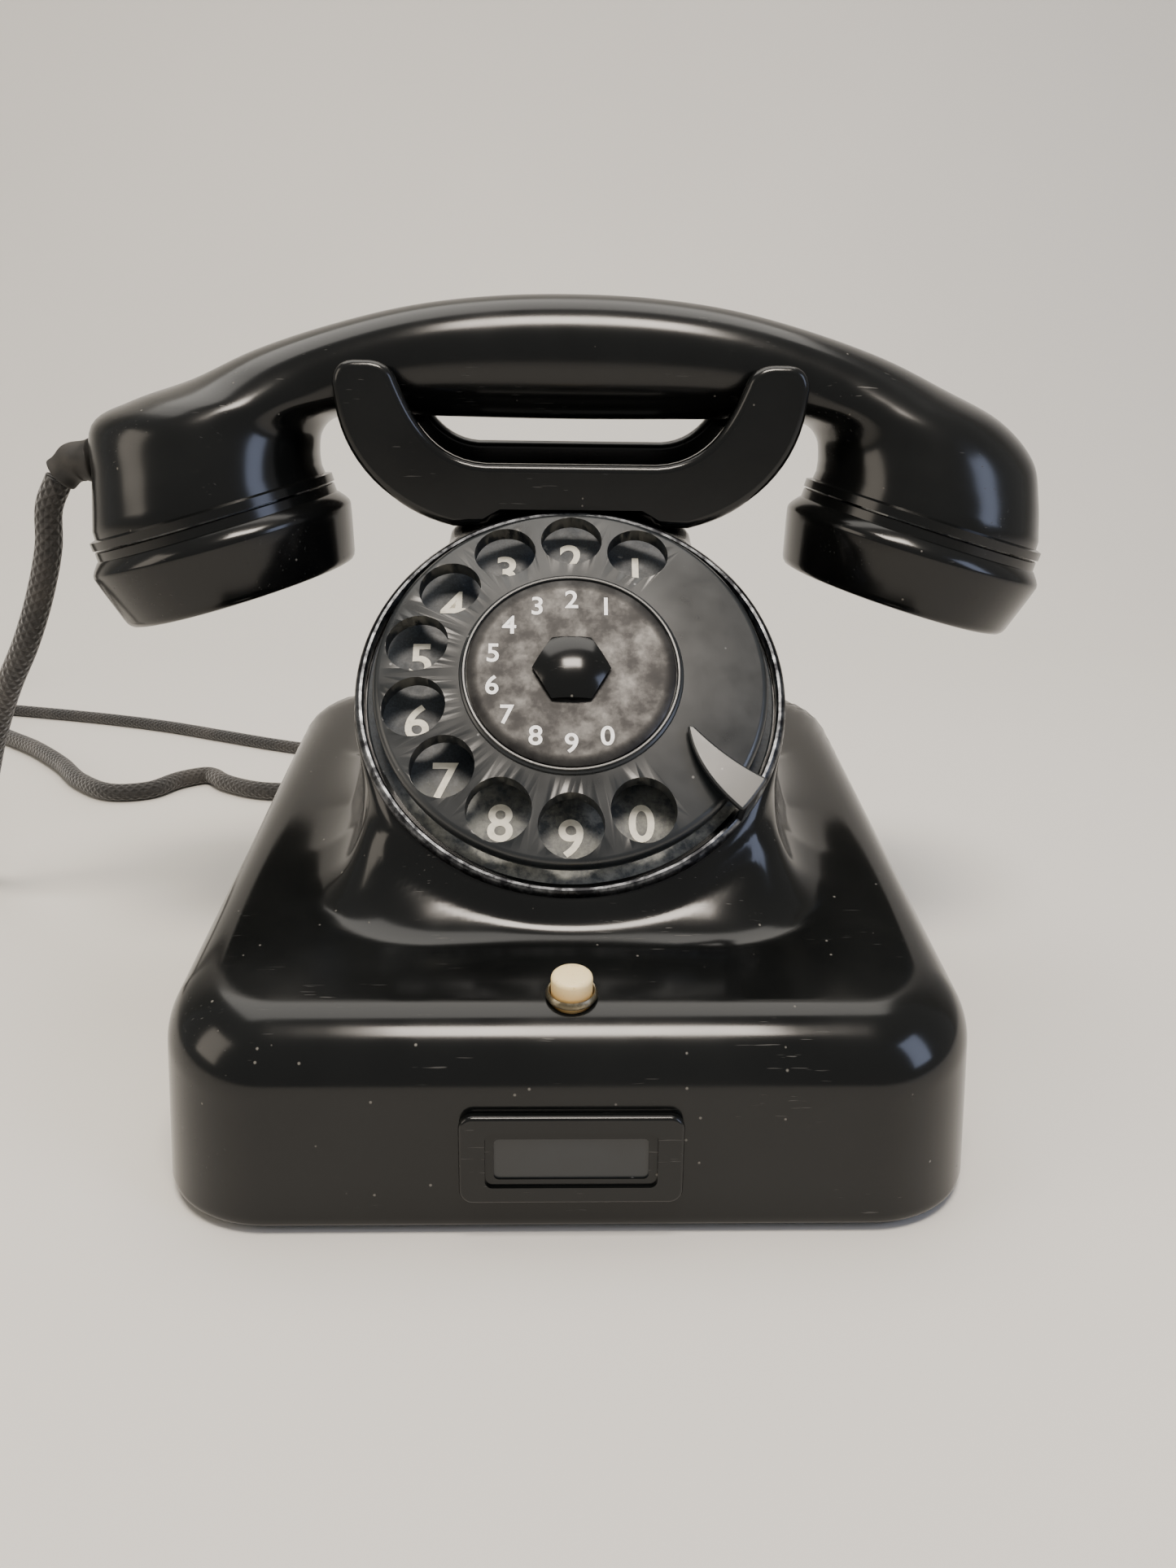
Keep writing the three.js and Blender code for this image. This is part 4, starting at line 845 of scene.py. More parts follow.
class TELEPHONE_OT_cords(bpy.types.Operator):
    """Lays the braided handset cord and line cord, each with its coil and reliefs, and the line cord's plug
    """

    bl_idname = "telephone.cords"
    bl_label = "Cords"

    def execute(self, context):
        sizes = context.scene.tele_cords
        self.handset_cord(sizes.handset_diameter)
        self.line_cord(sizes.line_diameter)
        return {"FINISHED"}

    def coil(self, node, turns, diameter, radius_at, level_at):
        """The route of a coil's turns, clockwise from its nearest point, in the middle of its CAD node."""
        centre = middle_of(node)
        points = []
        count = int(turns * TURN_POINTS)
        for i in range(count + 1):
            turn = turns * i / count
            x, y = on_circle(radius_at(turn), 270 - 360 * turn)
            points.append((centre.x + x, centre.y + y, diameter / 2 + FLOOR_ROOM + level_at(turn)))
        return points

    def handset_cord(self, diameter):
        """From the handset down to the table, once and a half round a loose coil, and to the housing."""
        pitch = 6.5  # rise of one turn
        turns = 577 / 360
        low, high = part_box("handset_cord_coil")
        radius = (high.x - low.x) / 2 / MM - diameter / 2 - 0.2
        wound = self.coil(
            "handset_cord_coil", turns, diameter, lambda turn: radius, lambda turn: pitch * turn
        )
        path = curve_through(in_millimetres(HANDSET_ROUTE) + wound + in_millimetres(RETURN_ROUTE), CORD_STEP)
        relief = self.sleeve("handset_relief", path[0])
        grommet = self.grommet("handset_cord_relief", path[-1], diameter)
        cord = swept("handset_cord", path, np.full(len(path), diameter / 2), 16)
        cord.data.materials.append(MATERIALS["handset_cord"])
        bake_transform(cord)
        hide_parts("handset_cord_hanging", "handset_cord_coil", "handset_cord_lying")

    def line_cord(self, diameter):
        """From the housing across the table into a neat coil, and on to the plug."""
        # Each layer is two turns side by side; a turn changes its radius or its layer as it begins.
        inner, outer = 24.75, 30.25
        radii = [outer, inner, inner, outer, outer, inner, inner, outer]
        layers = [0, 0, 1, 1, 2, 2, 3, 3]

        change = 0.16  # the share of a turn over which its radius or layer changes

        def stepped(values, turn):
            turn = min(turn, len(values) - 1e-6)
            index = int(turn)
            before = values[max(index - 1, 0)]
            share = min((turn - index) / change, 1)
            return before + (values[index] - before) * share * share * (3 - 2 * share)

        wound = self.coil(
            "line_cord_coil",
            len(radii),
            diameter,
            lambda turn: stepped(radii, turn),
            lambda turn: diameter * stepped(layers, turn),
        )
        path = curve_through(in_millimetres(LINE_ROUTE) + wound + in_millimetres(PLUG_ROUTE), CORD_STEP)
        grommet = self.grommet("line_cord_relief", path[0], diameter)
        plug = self.plug()
        cord = swept("line_cord_braided", path, np.full(len(path), diameter / 2), 14)
        stretches = ("line_cord", "line_cord_coil", "line_cord_tail")
        dress(cord, MATERIALS["line_cord"], "root", "textile", *stretches)

    def sleeve(self, node, cord_end):
        """The short rubber sleeve on the handset, with two ridges."""
        root, end = 10.4, 8.4
        low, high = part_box(node)
        start = Vector((high.x - 0.4 * MM, (low.y + high.y) / 2, high.z - root / 2 * MM - 0.2 * MM)) / MM
        bend = Vector((start.x - 4.4, start.y, start.z - 0.5))
        finish = Vector(cord_end) + Vector((0.35, 0, 0.9))
        path = curve_through([start, bend, finish], 0.35)
        share = np.linspace(0, 1, len(path))
        radii = (root + (end - root) * share) / 2 + 0.18 * np.cos(share * 4 * math.pi)
        radii[0] -= 0.4
        radii[-1] -= 0.5
        piece = swept("handset_sleeve", path, radii, 32)
        return dress(piece, MATERIALS["rubber"], "handset", "rubber", node)

    def grommet(self, node, cord_end, diameter):
        """A tapered rubber grommet through the rear wall, ribbed where it bends."""
        low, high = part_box(node)
        exit_z = 12.0
        end = Vector(cord_end)
        inside = Vector(((low.x + high.x) / 2 / MM, low.y / MM + 0.2, exit_z))
        inside.x = end.x + (1.4 if diameter > 6 else 0.9)
        route = [inside, inside + Vector((0, 18, -0.4)), Vector((end.x + 0.1, end.y - 0.9, end.z + 0.1))]
        path = curve_through(route, 0.6)
        share = np.linspace(0, 1, len(path))
        root, tip = (diameter + 5.3) / 2, (diameter + 0.9) / 2
        ribs = 0.25 * np.cos(share * 14 * math.pi) * (share > 0.35)
        radii = root + (tip - root) * share + ribs
        radii[-1] -= 0.3
        piece = swept(node + "_moulded", path, radii, 28)
        return dress(piece, MATERIALS["rubber"], "root", "rubber", node)

    def plug(self):
        """A flat bakelite plug with a waisted body, a neck and four flat pins."""
        low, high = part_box("line_plug")
        middle = middle_of("line_plug")
        body_length, neck_length, pin_length = 22, 4, 11.6
        height, width = (high.z - low.z) / MM - 0.3, (high.y - low.y) / MM - 0.3
        body = prism("plug_bakelite", rounded_rectangle(height, width, 5), 0, body_length)
        bpy.ops.object.mode_set(mode="EDIT")
        bpy.ops.mesh.select_all(action="DESELECT")
        bpy.ops.object.mode_set(mode="OBJECT")
        for polygon in body.data.polygons:
            polygon.select = polygon.normal.z < -0.9
        bpy.ops.object.mode_set(mode="EDIT")
        bpy.ops.mesh.inset(thickness=2.2 * MM, depth=0)
        bpy.ops.object.mode_set(mode="OBJECT")
        bevel(body, 1.6, 4)
        outline = [(0, -neck_length), (6.2, -neck_length), (7.3, 0.8 - neck_length), (7.4, 0.4), (0, 0.4)]
        neck = turned("plug_neck", outline, 40)
        pins = []
        for x, y in ((-4, -8), (4, -8), (-4, 8), (4, 8)):
            sunk = 0.1  # into the body
            pin = block("pin", (1.6, 5, 11.8), (x, y, body_length - sunk + 11.8 / 2))
            pins.append(bevel(pin, 0.4, 2))
        foot = Vector((high.x / MM - neck_length, middle.y, middle.z)) * MM
        whole = smooth(join(body, neck, *pins))
        place(whole, Matrix.Translation(foot) @ Matrix.Rotation(math.radians(-90), 4, "Y"))
        dress(whole, MATERIALS["bakelite"], "root", "black_bakelite", "line_plug")
        whole.data.materials.append(MATERIALS["brass"])
        pin_line = low.x + pin_length * MM
        for polygon in whole.data.polygons:
            polygon.material_index = 1 if polygon.center.x < pin_line else 0
        return whole


# ---- Housing ------------------------------------------------------------------------------------------
def round_max(a, b, radius):
    """Where both fields are inside, with the edge between them rounded to a radius."""
    outside = np.hypot(np.maximum(a + radius, 0), np.maximum(b + radius, 0))
    return np.minimum(np.maximum(a, b), -radius) + outside


def round_min(a, b, radius):
    """Where either field is inside, with the corner between them filleted to a radius."""
    return -round_max(-a, -b, radius)


def rectangle_field(x, y, middle, half_width, half_depth, radius):
    """The distance from a rectangle with round corners, about (0, middle)."""
    across = np.abs(x) - (half_width - radius)
    along = np.abs(y - middle) - (half_depth - radius)
    corner = np.hypot(np.maximum(across, 0), np.maximum(along, 0))
    return corner + np.minimum(np.maximum(across, along), 0) - radius


# The body's faces lean in by these over a height that starts a little above the rim.
FRONT_LEAN, SIDE_LEAN = 2.8, 1.3
LEAN_FOOT, LEAN_HEIGHT = 3.2, 29.6


class TELEPHONE_OT_housing(bpy.types.Operator):
    """Moulds the bakelite housing: a sloping body that sweeps up into the neck and the dial's collar"""

    bl_idname = "telephone.housing"
    bl_label = "Housing"

    def execute(self, context):
        self.sizes = context.scene.tele_housing
        shell = self.rough()
        self.mould(shell)
        self.hollow(shell)
        self.openings(shell)
        smooth(shell, 50)
        dress(shell, MATERIALS["bakelite"], "root", "black_bakelite", "housing_shell")
        self.feet()
        return {"FINISHED"}

    def rough(self):
        """Blocks near the final shape, fused into one even mesh."""
        s = self.sizes
        shell = block("housing_bakelite", (2 * s.half_width, 2 * s.half_depth, 46), (0, 0, 24))
        flare = block("flare", (96, 118, 40), (0, 8, 60))
        neck = block("neck", (2 * 31, 44, 44), (0, 31, s.neck_top - 22))
        collar = place(cylinder("collar", s.collar, -30, -1), DIAL)
        join(shell, flare, neck, collar)
        return modify(shell, "REMESH", mode="VOXEL", voxel_size=s.voxel * MM)

    def field(self, p):
        """Negative inside the moulding and zero on its skin, in millimetres."""
        s = self.sizes
        x, y, z = p.T
        edge_inset = 12.6  # from the front face to where the sloping top starts
        slope = (s.rear_height - s.front_height) / (2 * s.half_depth - 26)
        top = s.front_height + (y + s.half_depth - edge_inset) * slope
        rise = np.clip((z - LEAN_FOOT) / LEAN_HEIGHT, 0, 1.3)
        half_width, half_depth = s.half_width - SIDE_LEAN * rise, s.half_depth - FRONT_LEAN * rise
        sides = rectangle_field(x, y, 0, half_width, half_depth, s.corner)
        body = round_max(sides, (z - top) / math.hypot(1, slope), s.edge)
        body = round_max(body, s.rim - z, 2.2)

        # The neck narrows as it rises: half width, rear and corner radius against height.
        levels = [36, 60, 74, 88, 100, 110, 120]
        half = np.interp(z, levels, [49, 45.5, 41.5, 36.5, 32.2, 29.8, 29])
        rear = np.interp(z, levels, [63, 62, 60, 57, 54, 52.4, 52])
        radius = np.interp(z, levels, [21, 20, 18, 16, 14, 11.5, 10])
        front = -52.0
        middle = (front + rear) / 2
        neck = rectangle_field(x, y, middle, half, (rear - front) / 2, radius)

        # The collar is a short drum about the dial's axis, and the neck ends behind its face.
        from_dial = p - np.array(DIAL_CENTRE) / MM
        along = from_dial @ np.array(DIAL_OUT)
        away = np.linalg.norm(from_dial - along[:, None] * np.array(DIAL_OUT), axis=1)
        face, behind_face, drum_depth = -1, -3.5, 44
        neck = round_max(neck, z - s.neck_top, 2.5)
        neck = round_max(neck, along - behind_face, 6)
        barrel = round_max(away - s.collar, along - face, 1.6)
        barrel = np.maximum(barrel, -along - drum_depth)
        upper = round_min(neck, barrel, 7)

        # The sweep from the body up into the neck is tighter in front, under the dial.
        sweep = 16 - 6 * np.clip((-y - 20) / 25, 0, 1)
        return round_min(body, upper, sweep)

    def gradient(self, p):
        """The field's slope at every point."""
        step = 0.05
        offsets = np.eye(3) * step
        return np.stack([(self.field(p + o) - self.field(p - o)) / (2 * step) for o in offsets], axis=1)

    def mould(self, shell):
        """Moves every point onto the skin, evening the mesh along it between the moves."""
        mesh = shell.data
        count = len(mesh.vertices)
        flat = np.empty(count * 3)
        mesh.vertices.foreach_get("co", flat)
        points = flat.reshape(-1, 3) / MM
        edges = np.empty(len(mesh.edges) * 2, int)
        mesh.edges.foreach_get("vertices", edges)
        a, b = edges.reshape(-1, 2).T
        valence = np.bincount(np.r_[a, b], minlength=count)[:, None]
        rounds, evening_rounds, longest_move = 26, 20, 2.5
        for turn in range(rounds):
            slope = self.gradient(points)
            steep = np.maximum((slope**2).sum(1, keepdims=True), 0.05)
            move = self.field(points)[:, None] * slope / steep
            length = np.maximum(np.linalg.norm(move, axis=1, keepdims=True), 1e-9)
            points = points - move * np.minimum(1, longest_move / length)
            if turn < evening_rounds:
                total = np.zeros_like(points)
                for axis in range(3):
                    total[:, axis] = np.bincount(a, points[b, axis], count)
                    total[:, axis] += np.bincount(b, points[a, axis], count)
                drift = total / valence - points
                normal = slope / np.sqrt(steep)
                points += 0.5 * (drift - (drift * normal).sum(1, keepdims=True) * normal)
        mesh.vertices.foreach_set("co", (points * MM).ravel())
        mesh.update()

    def hollow(self, shell):
        """Opens the underside and gives the skin its wall."""
        s = self.sizes
        only(shell)
        bottom = (s.rim + 0.25) * MM
        bpy.ops.object.mode_set(mode="EDIT")
        bpy.ops.mesh.select_all(action="SELECT")
        bpy.ops.mesh.bisect(plane_co=(0, 0, bottom), plane_no=(0, 0, 1), clear_inner=True)
        bpy.ops.mesh.select_all(action="SELECT")
        bpy.ops.mesh.normals_make_consistent(inside=False)
        bpy.ops.object.mode_set(mode="OBJECT")
        modify(shell, "SOLIDIFY", thickness=s.wall * MM, offset=-1, use_even_offset=False)

    def openings(self, shell):
        """Cuts the dial's bore, the button's and the rods' holes, and the cords' slots."""
        s = self.sizes

        def cut(tool):
            boolean(shell, tool, solver="MANIFOLD")

        cut(place(cylinder("bore", 44.6, -34, 8, sides=128), DIAL))
        button = Matrix.Translation(middle_of("button_collar") * MM) @ BUTTON_AXES
        cut(place(cylinder("button_bore", 4.6, -12, 8), button))
        low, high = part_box("cradle_yoke")
        rod_x = (high.x - low.x) / 2 / MM - 4
        for x in (-rod_x, rod_x):
            cut(cylinder("rod_bore", 3.1, 100, 130, x, middle_of("cradle_yoke").y, 32))
        # Round-topped slots in the rear wall for the cords' grommets, open at the rim.
        slot_top, slot_reach, slot_depth = 18.5, 12, 30
        for x, width in ((-45, 13.5), (-8, 12)):
            slot = prism("slot", rounded_rectangle(width, 2 * slot_top, width / 2 - 0.1), 0, slot_depth)
            behind = Matrix.Translation((x * MM, (s.half_depth + slot_reach) * MM, 0))
            cut(place(slot, behind @ Matrix.Rotation(math.radians(90), 4, "X")))

    def feet(self):
        """Turned rubber feet with a small round-over."""
        for i in range(1, 5):
            node = f"rubber_foot_{i}"
            low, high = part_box(node)
            x, y = (low.x + high.x) / 2 / MM, (low.y + high.y) / 2 / MM
            top = high.z / MM
            outline = [(0, 0), (5.6, 0), (6.3, 0.2), (6.8, 0.8), (6.95, 1.5)]
            outline += [(6.95, top - 0.1), (0, top - 0.1)]
            foot = turned(f"foot_{i}", outline, 48)
            place(smooth(foot), Matrix.Translation((x * MM, y * MM, 0)))
            dress(foot, MATERIALS["rubber"], "root", "rubber", node)


# ---- Dial ---------------------------------------------------------------------------------------------
DIGITS = "1234567890"
WHEEL_FALL = math.tan(math.radians(7.7))  # of the coned wheel's face, outwards


def hole_angles():
    """The finger holes' angles, in degrees, from digit 1 right of the top round to 0."""
    pitch = 360 / 14
    return [90 - pitch + i * pitch for i in range(len(DIGITS))]


class TELEPHONE_OT_dial(bpy.types.Operator):
    """Builds the dial: bezel, number ring, finger wheel, centre disc, knob and finger stop"""

    bl_idname = "telephone.dial"
    bl_label = "Dial"

    def execute(self, context):
        self.sizes = context.scene.tele_dial
        self.bezel()
        self.number_ring()
        self.finger_wheel()
        self.centre()
        self.finger_stop()
        return {"FINISHED"}

    def bezel(self):
        """A thin rolled metal ring with a gap where the finger stop passes."""
        inner, outer = self.sizes.wheel + 2.6, self.sizes.wheel + 4.7
        outline = [(inner, -0.6), (inner, 1.2), (inner + 0.35, 1.75), (inner + 0.9, 1.88)]
        outline += [(outer - 0.7, 1.6), (outer - 0.15, 0.95), (outer, 0.1), (outer, -0.6)]
        ring = turned("bezel_rolled", outline, 144)
        cutter = prism("gap", [(38, -56), (56, -84), (76, -44), (52, -30.5)], -3, 6)
        even(smooth(boolean(ring, cutter), 35))
        place(ring, DIAL)
        dress(ring, MATERIALS["bezel"], "root", "dark_metal", "dial_bezel")

    def number_ring(self):
        """An enamelled ring, slightly dished, with a rolled inner edge, and its digits."""
        s = self.sizes
        inner, outer = s.ridge - 0.2, s.wheel + 2.2
        outline = [(inner, -0.85), (inner, -0.15), (inner + 0.5, -0.02), (outer - 3, -0.02)]
        outline += [(outer - 0.4, -0.3), (outer, -0.85)]
        ring = place(smooth(turned("number_plate", outline, 128)), DIAL)
        dress(ring, MATERIALS["plate"], "root", "number_card", "number_ring")
        self.print_digits("ring_digits", s.hole_circle, s.digit, 0.06, "digits", "root", "number_card")

    def print_digits(self, name, radius, height, level, material, body, slot):
        """Upright digits, raised by the thickness of their ink."""
        letters = []
        cap_share = 0.73  # of the font's size
        for digit, angle in zip(DIGITS, hole_angles()):
            x, y = on_circle(radius, angle)
            bpy.ops.object.text_add()
            text = bpy.context.active_object
            text.data.body = digit
            text.data.size = height * MM / cap_share
            text.data.align_x = "CENTER"
            text.data.extrude = 0.03 * MM
            text.data.offset = height * 0.02 * MM
            text.data.resolution_u = 6
            bpy.ops.object.convert(target="MESH")
            letter = named(name + digit)
            low, high = (Vector(p) for p in (letter.bound_box[0], letter.bound_box[6]))
            middle = (low + high) / 2
            place(letter, Matrix.Translation(Vector((x * MM, y * MM, level * MM)) - middle))
            letters.append(letter)
        whole = join(*letters)
        whole.name = whole.data.name = name
        place(whole, DIAL)
        dress(whole, MATERIALS[material], body, slot)

    def wheel_face(self, radius):
        """The level of the coned wheel's face at a radius."""
        return self.sizes.face + (self.sizes.hole_circle - radius) * WHEEL_FALL

    def finger_wheel(self):
        """A coned wheel with a rounded rim and ten softly edged finger holes."""
        s, face = self.sizes, self.wheel_face
        thickness, inner = 4.0, 18.0
        outline = [(inner, face(inner)), (s.ridge, face(s.ridge)), (s.wheel - 1.6, face(s.wheel - 1.6))]
        rim_top = face(s.wheel - 1.6)
        outline += [(s.wheel - 0.9, rim_top - 0.22), (s.wheel - 0.3, rim_top - 0.8), (s.wheel, rim_top - 1.7)]
        outline += [(s.wheel, rim_top - 2.9), (s.wheel - 0.4, rim_top - 3.6), (s.wheel - 1.2, rim_top - 4)]
        outline += [(inner, face(inner) - thickness)]
        wheel = turned("finger_wheel_pierced", outline, 144)
        for angle in hole_angles():
            x, y = on_circle(s.hole_circle, angle)
            boolean(wheel, cylinder("hole", s.hole, 0, 16, x, y, 56))
        bevel(wheel, 0.55, 3, 50)
        place(even(smooth(wheel, 35)), DIAL)
        dress(wheel, MATERIALS["satin"], "dial_wheel", "wheel_plastic", "finger_wheel")

    def centre(self):
        """What turns on the wheel: a grooved ridge, the disc with its digits, and the knob."""
        s = self.sizes
        sunk = 0.5  # into the wheel
        foot = self.wheel_face(s.ridge) - sunk
        top = s.face + s.disc_rise
        disc_edge = s.disc - 0.15
        low, high = s.disc + 0.05, s.ridge
        section = [(low, foot + 0.3), (low, top - 0.5), (low + 0.25, top - 0.1), (low + 0.6, top - 0.05)]
        section += [(low + 0.85, top - 0.35), (high - 0.75, top - 0.5), (high - 0.35, top - 0.75)]
        section += [(high - 0.05, top - 1.4), (high, foot + 0.3)]
        ridge = place(smooth(turned("disc_ridge", section, 128), 30), DIAL)
        dress(ridge, MATERIALS["satin"], "dial_wheel", "wheel_plastic", "disc_ring")
        outline = [(0, top - 1.2), (disc_edge, top - 1.2), (disc_edge, top - 0.35)]
        outline += [(disc_edge - 0.35, top - 0.08), (disc_edge - 2.6, top), (9, top + 0.02), (0, top + 0.02)]
        disc = place(smooth(turned("lacquered_disc", outline, 128), 40), DIAL)
        dress(disc, MATERIALS["lacquer"], "dial_wheel", "dark_metal", "label_disc")
        printing = ("small_digits", "dial_wheel", "number_card")
        self.print_digits("disc_digits", s.disc - 5.3, s.small_digit, top + 0.06, *printing)
        self.knob(top)

    def knob(self, top):
        """A domed six-sided knob on a round seat."""
        radius = self.sizes.knob / 2
        height, dome_height = 3.1, 2.3
        corners = [on_circle(radius, 60 * i) for i in range(6)]
        body = prism("knob_six_sided", corners, top + 0.45, top + height + 1.2)
        dome_radius = (radius**2 + dome_height**2) / (2 * dome_height)
        bpy.ops.mesh.primitive_uv_sphere_add(segments=96, ring_count=96, radius=dome_radius * MM)
        dome = named("dome")
        place(dome, Matrix.Translation((0, 0, (top + height - dome_radius) * MM)))
        boolean(body, dome, "INTERSECT")
        bevel(body, 0.9, 5, 28)
        rim = radius * 0.86
        seat = turned("seat", [(0, top + 0.05), (rim, top + 0.05), (rim, top + 0.6), (0, top + 0.6)])
        boolean(body, seat, "UNION")
        place(even(smooth(body, 40)), DIAL)
        dress(body, MATERIALS["handled"], "dial_wheel", "black_bakelite", "centre_knob")

    def finger_stop(self):
        """A glossy blade that reaches in from the bezel, over the wheel, to a narrow tip."""
        rim = 47.5
        outline = [on_circle(rim, a) for a in np.linspace(-43, -32, 7)]
        start, turn, tip = outline[-1], on_circle(38.6, -33), on_circle(28.8, -27.4)
        back, bend = on_circle(27.6, -28.4), on_circle(34.2, -43)
        end = outline[0]

        def between(a, b, c, t):
            return tuple((1 - t) ** 2 * np.array(a) + 2 * t * (1 - t) * np.array(b) + t * t * np.array(c))

        outline += [between(start, turn, tip, t) for t in np.linspace(0.08, 1, 14)]
        outline += [between(back, bend, end, t) for t in np.linspace(0, 0.94, 14)]
        blade = prism("finger_stop_blade", outline, 9.65, 11.25)
        bevel(blade, 0.55, 4, 40)
        leg_circle, leg_angle = 46.7, math.radians(-37.5)
        leg = block("leg", (1.5, 5.4, 12.1), (leg_circle, 0, 4.5))
        place(leg, Matrix.Rotation(leg_angle, 4, "Z"))
        bevel(leg, 0.4, 3)
        boolean(blade, leg, "UNION")
        place(even(smooth(blade, 40)), DIAL)
        dress(blade, MATERIALS["satin"], "root", "black_bakelite", "finger_stop")


# ---- Earth button and label ---------------------------------------------------------------------------
class TELEPHONE_OT_button(bpy.types.Operator):
    """Turns the domed earth button and its ring"""

    bl_idname = "telephone.button"
    bl_label = "Earth button"

    def execute(self, context):
        frame_low, frame_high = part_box("button_collar")
        centre = (frame_low + frame_high) / 2
        # The ring's own height along its axis, from the box of a tilted cylinder.
        tilt = math.atan2(BUTTON_OUT.y, BUTTON_OUT.z)
        depth, rise = frame_high.y - frame_low.y, frame_high.z - frame_low.z
        cos, sin = math.cos(tilt), abs(math.sin(tilt))
        height = (rise * cos - depth * sin) / (cos * cos - sin * sin)
        seat = Matrix.Translation(centre - BUTTON_OUT * height / 2) @ BUTTON_AXES
        tall = height / MM
        outline = [(4.15, 0.05), (4.15, tall - 0.35), (4.3, tall - 0.08), (4.5, tall - 0.02)]
        outline += [(4.75, tall - 0.3), (4.95, tall - 0.8), (4.95, 0.3), (4.8, 0.05)]
        ring = place(smooth(turned("button_ring", outline, 72), 30), seat)
        dress(ring, MATERIALS["collar"], "root", "steel", "button_collar")

        top = tall + 3.45
        outline = [(0, -6.0), (3.92, -6.0), (3.95, top - 1.0), (3.85, top - 0.6), (3.6, top - 0.32)]
        outline += [(3.1, top - 0.14), (1.6, top - 0.02), (0, top)]
        button = place(smooth(turned("casein_button", outline, 64), 45), seat)
        dress(button, MATERIALS["button"], "button_body", "ivory_plastic", "earth_button")
        return {"FINISHED"}


class TELEPHONE_OT_label(bpy.types.Operator):
    """Moulds the label frame with its bevelled window"""

    bl_idname = "telephone.label"
    bl_label = "Label frame"

    def execute(self, context):
        low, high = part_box("label_frame")
        middle = (low + high) / 2
        width, height, depth = (high.x - low.x) / MM - 0.1, 17.7, 2.3
        lean = math.atan2(FRONT_LEAN, LEAN_HEIGHT)  # of the housing's front
        out, up = Vector((0, -math.cos(lean), math.sin(lean))), Vector((0, math.sin(lean), math.cos(lean)))
        frame = prism("label_frame_moulded", rounded_rectangle(width, height, 2.6), 0, depth)
        bevel(frame, 0.8, 4, 60)
        window_width, window_height = 28.4, 8.2
        cutter = prism("window", rounded_rectangle(window_width, window_height, 1), -1, depth + 1)
        boolean(frame, cutter)
        step_outline = rounded_rectangle(window_width + 3.2, window_height + 2.8, 1.4)
        boolean(frame, prism("step", step_outline, depth - 0.7, depth + 1))
        rebate = prism("rebate", rounded_rectangle(window_width + 4.6, window_height + 2.6, 0.8), -1, 1.25)
        boolean(frame, rebate)
        back_y = low.y + (height / 2 * up.y - depth * out.y) * MM
        back = Vector((middle.x, back_y, middle.z - depth / 2 * out.z * MM))
        seat = Matrix.Translation(back) @ Matrix((Vector((1, 0, 0)), up, out)).transposed().to_4x4()
        place(even(smooth(frame, 40)), seat)
        dress(frame, MATERIALS["handled"], "root", "black_bakelite", "label_frame")
        return {"FINISHED"}


# ---- Cradle -------------------------------------------------------------------------------------------
def bezier(points, steps=14):
    """Points of a quadratic or cubic curve after its first one."""
    control = [np.array(p, float) for p in points]
    line = []
    for t in np.linspace(0, 1, steps + 1)[1:]:
        row = control
        while len(row) > 1:
            row = [a + (b - a) * t for a, b in zip(row, row[1:])]
        line.append(tuple(row[0]))
    return line


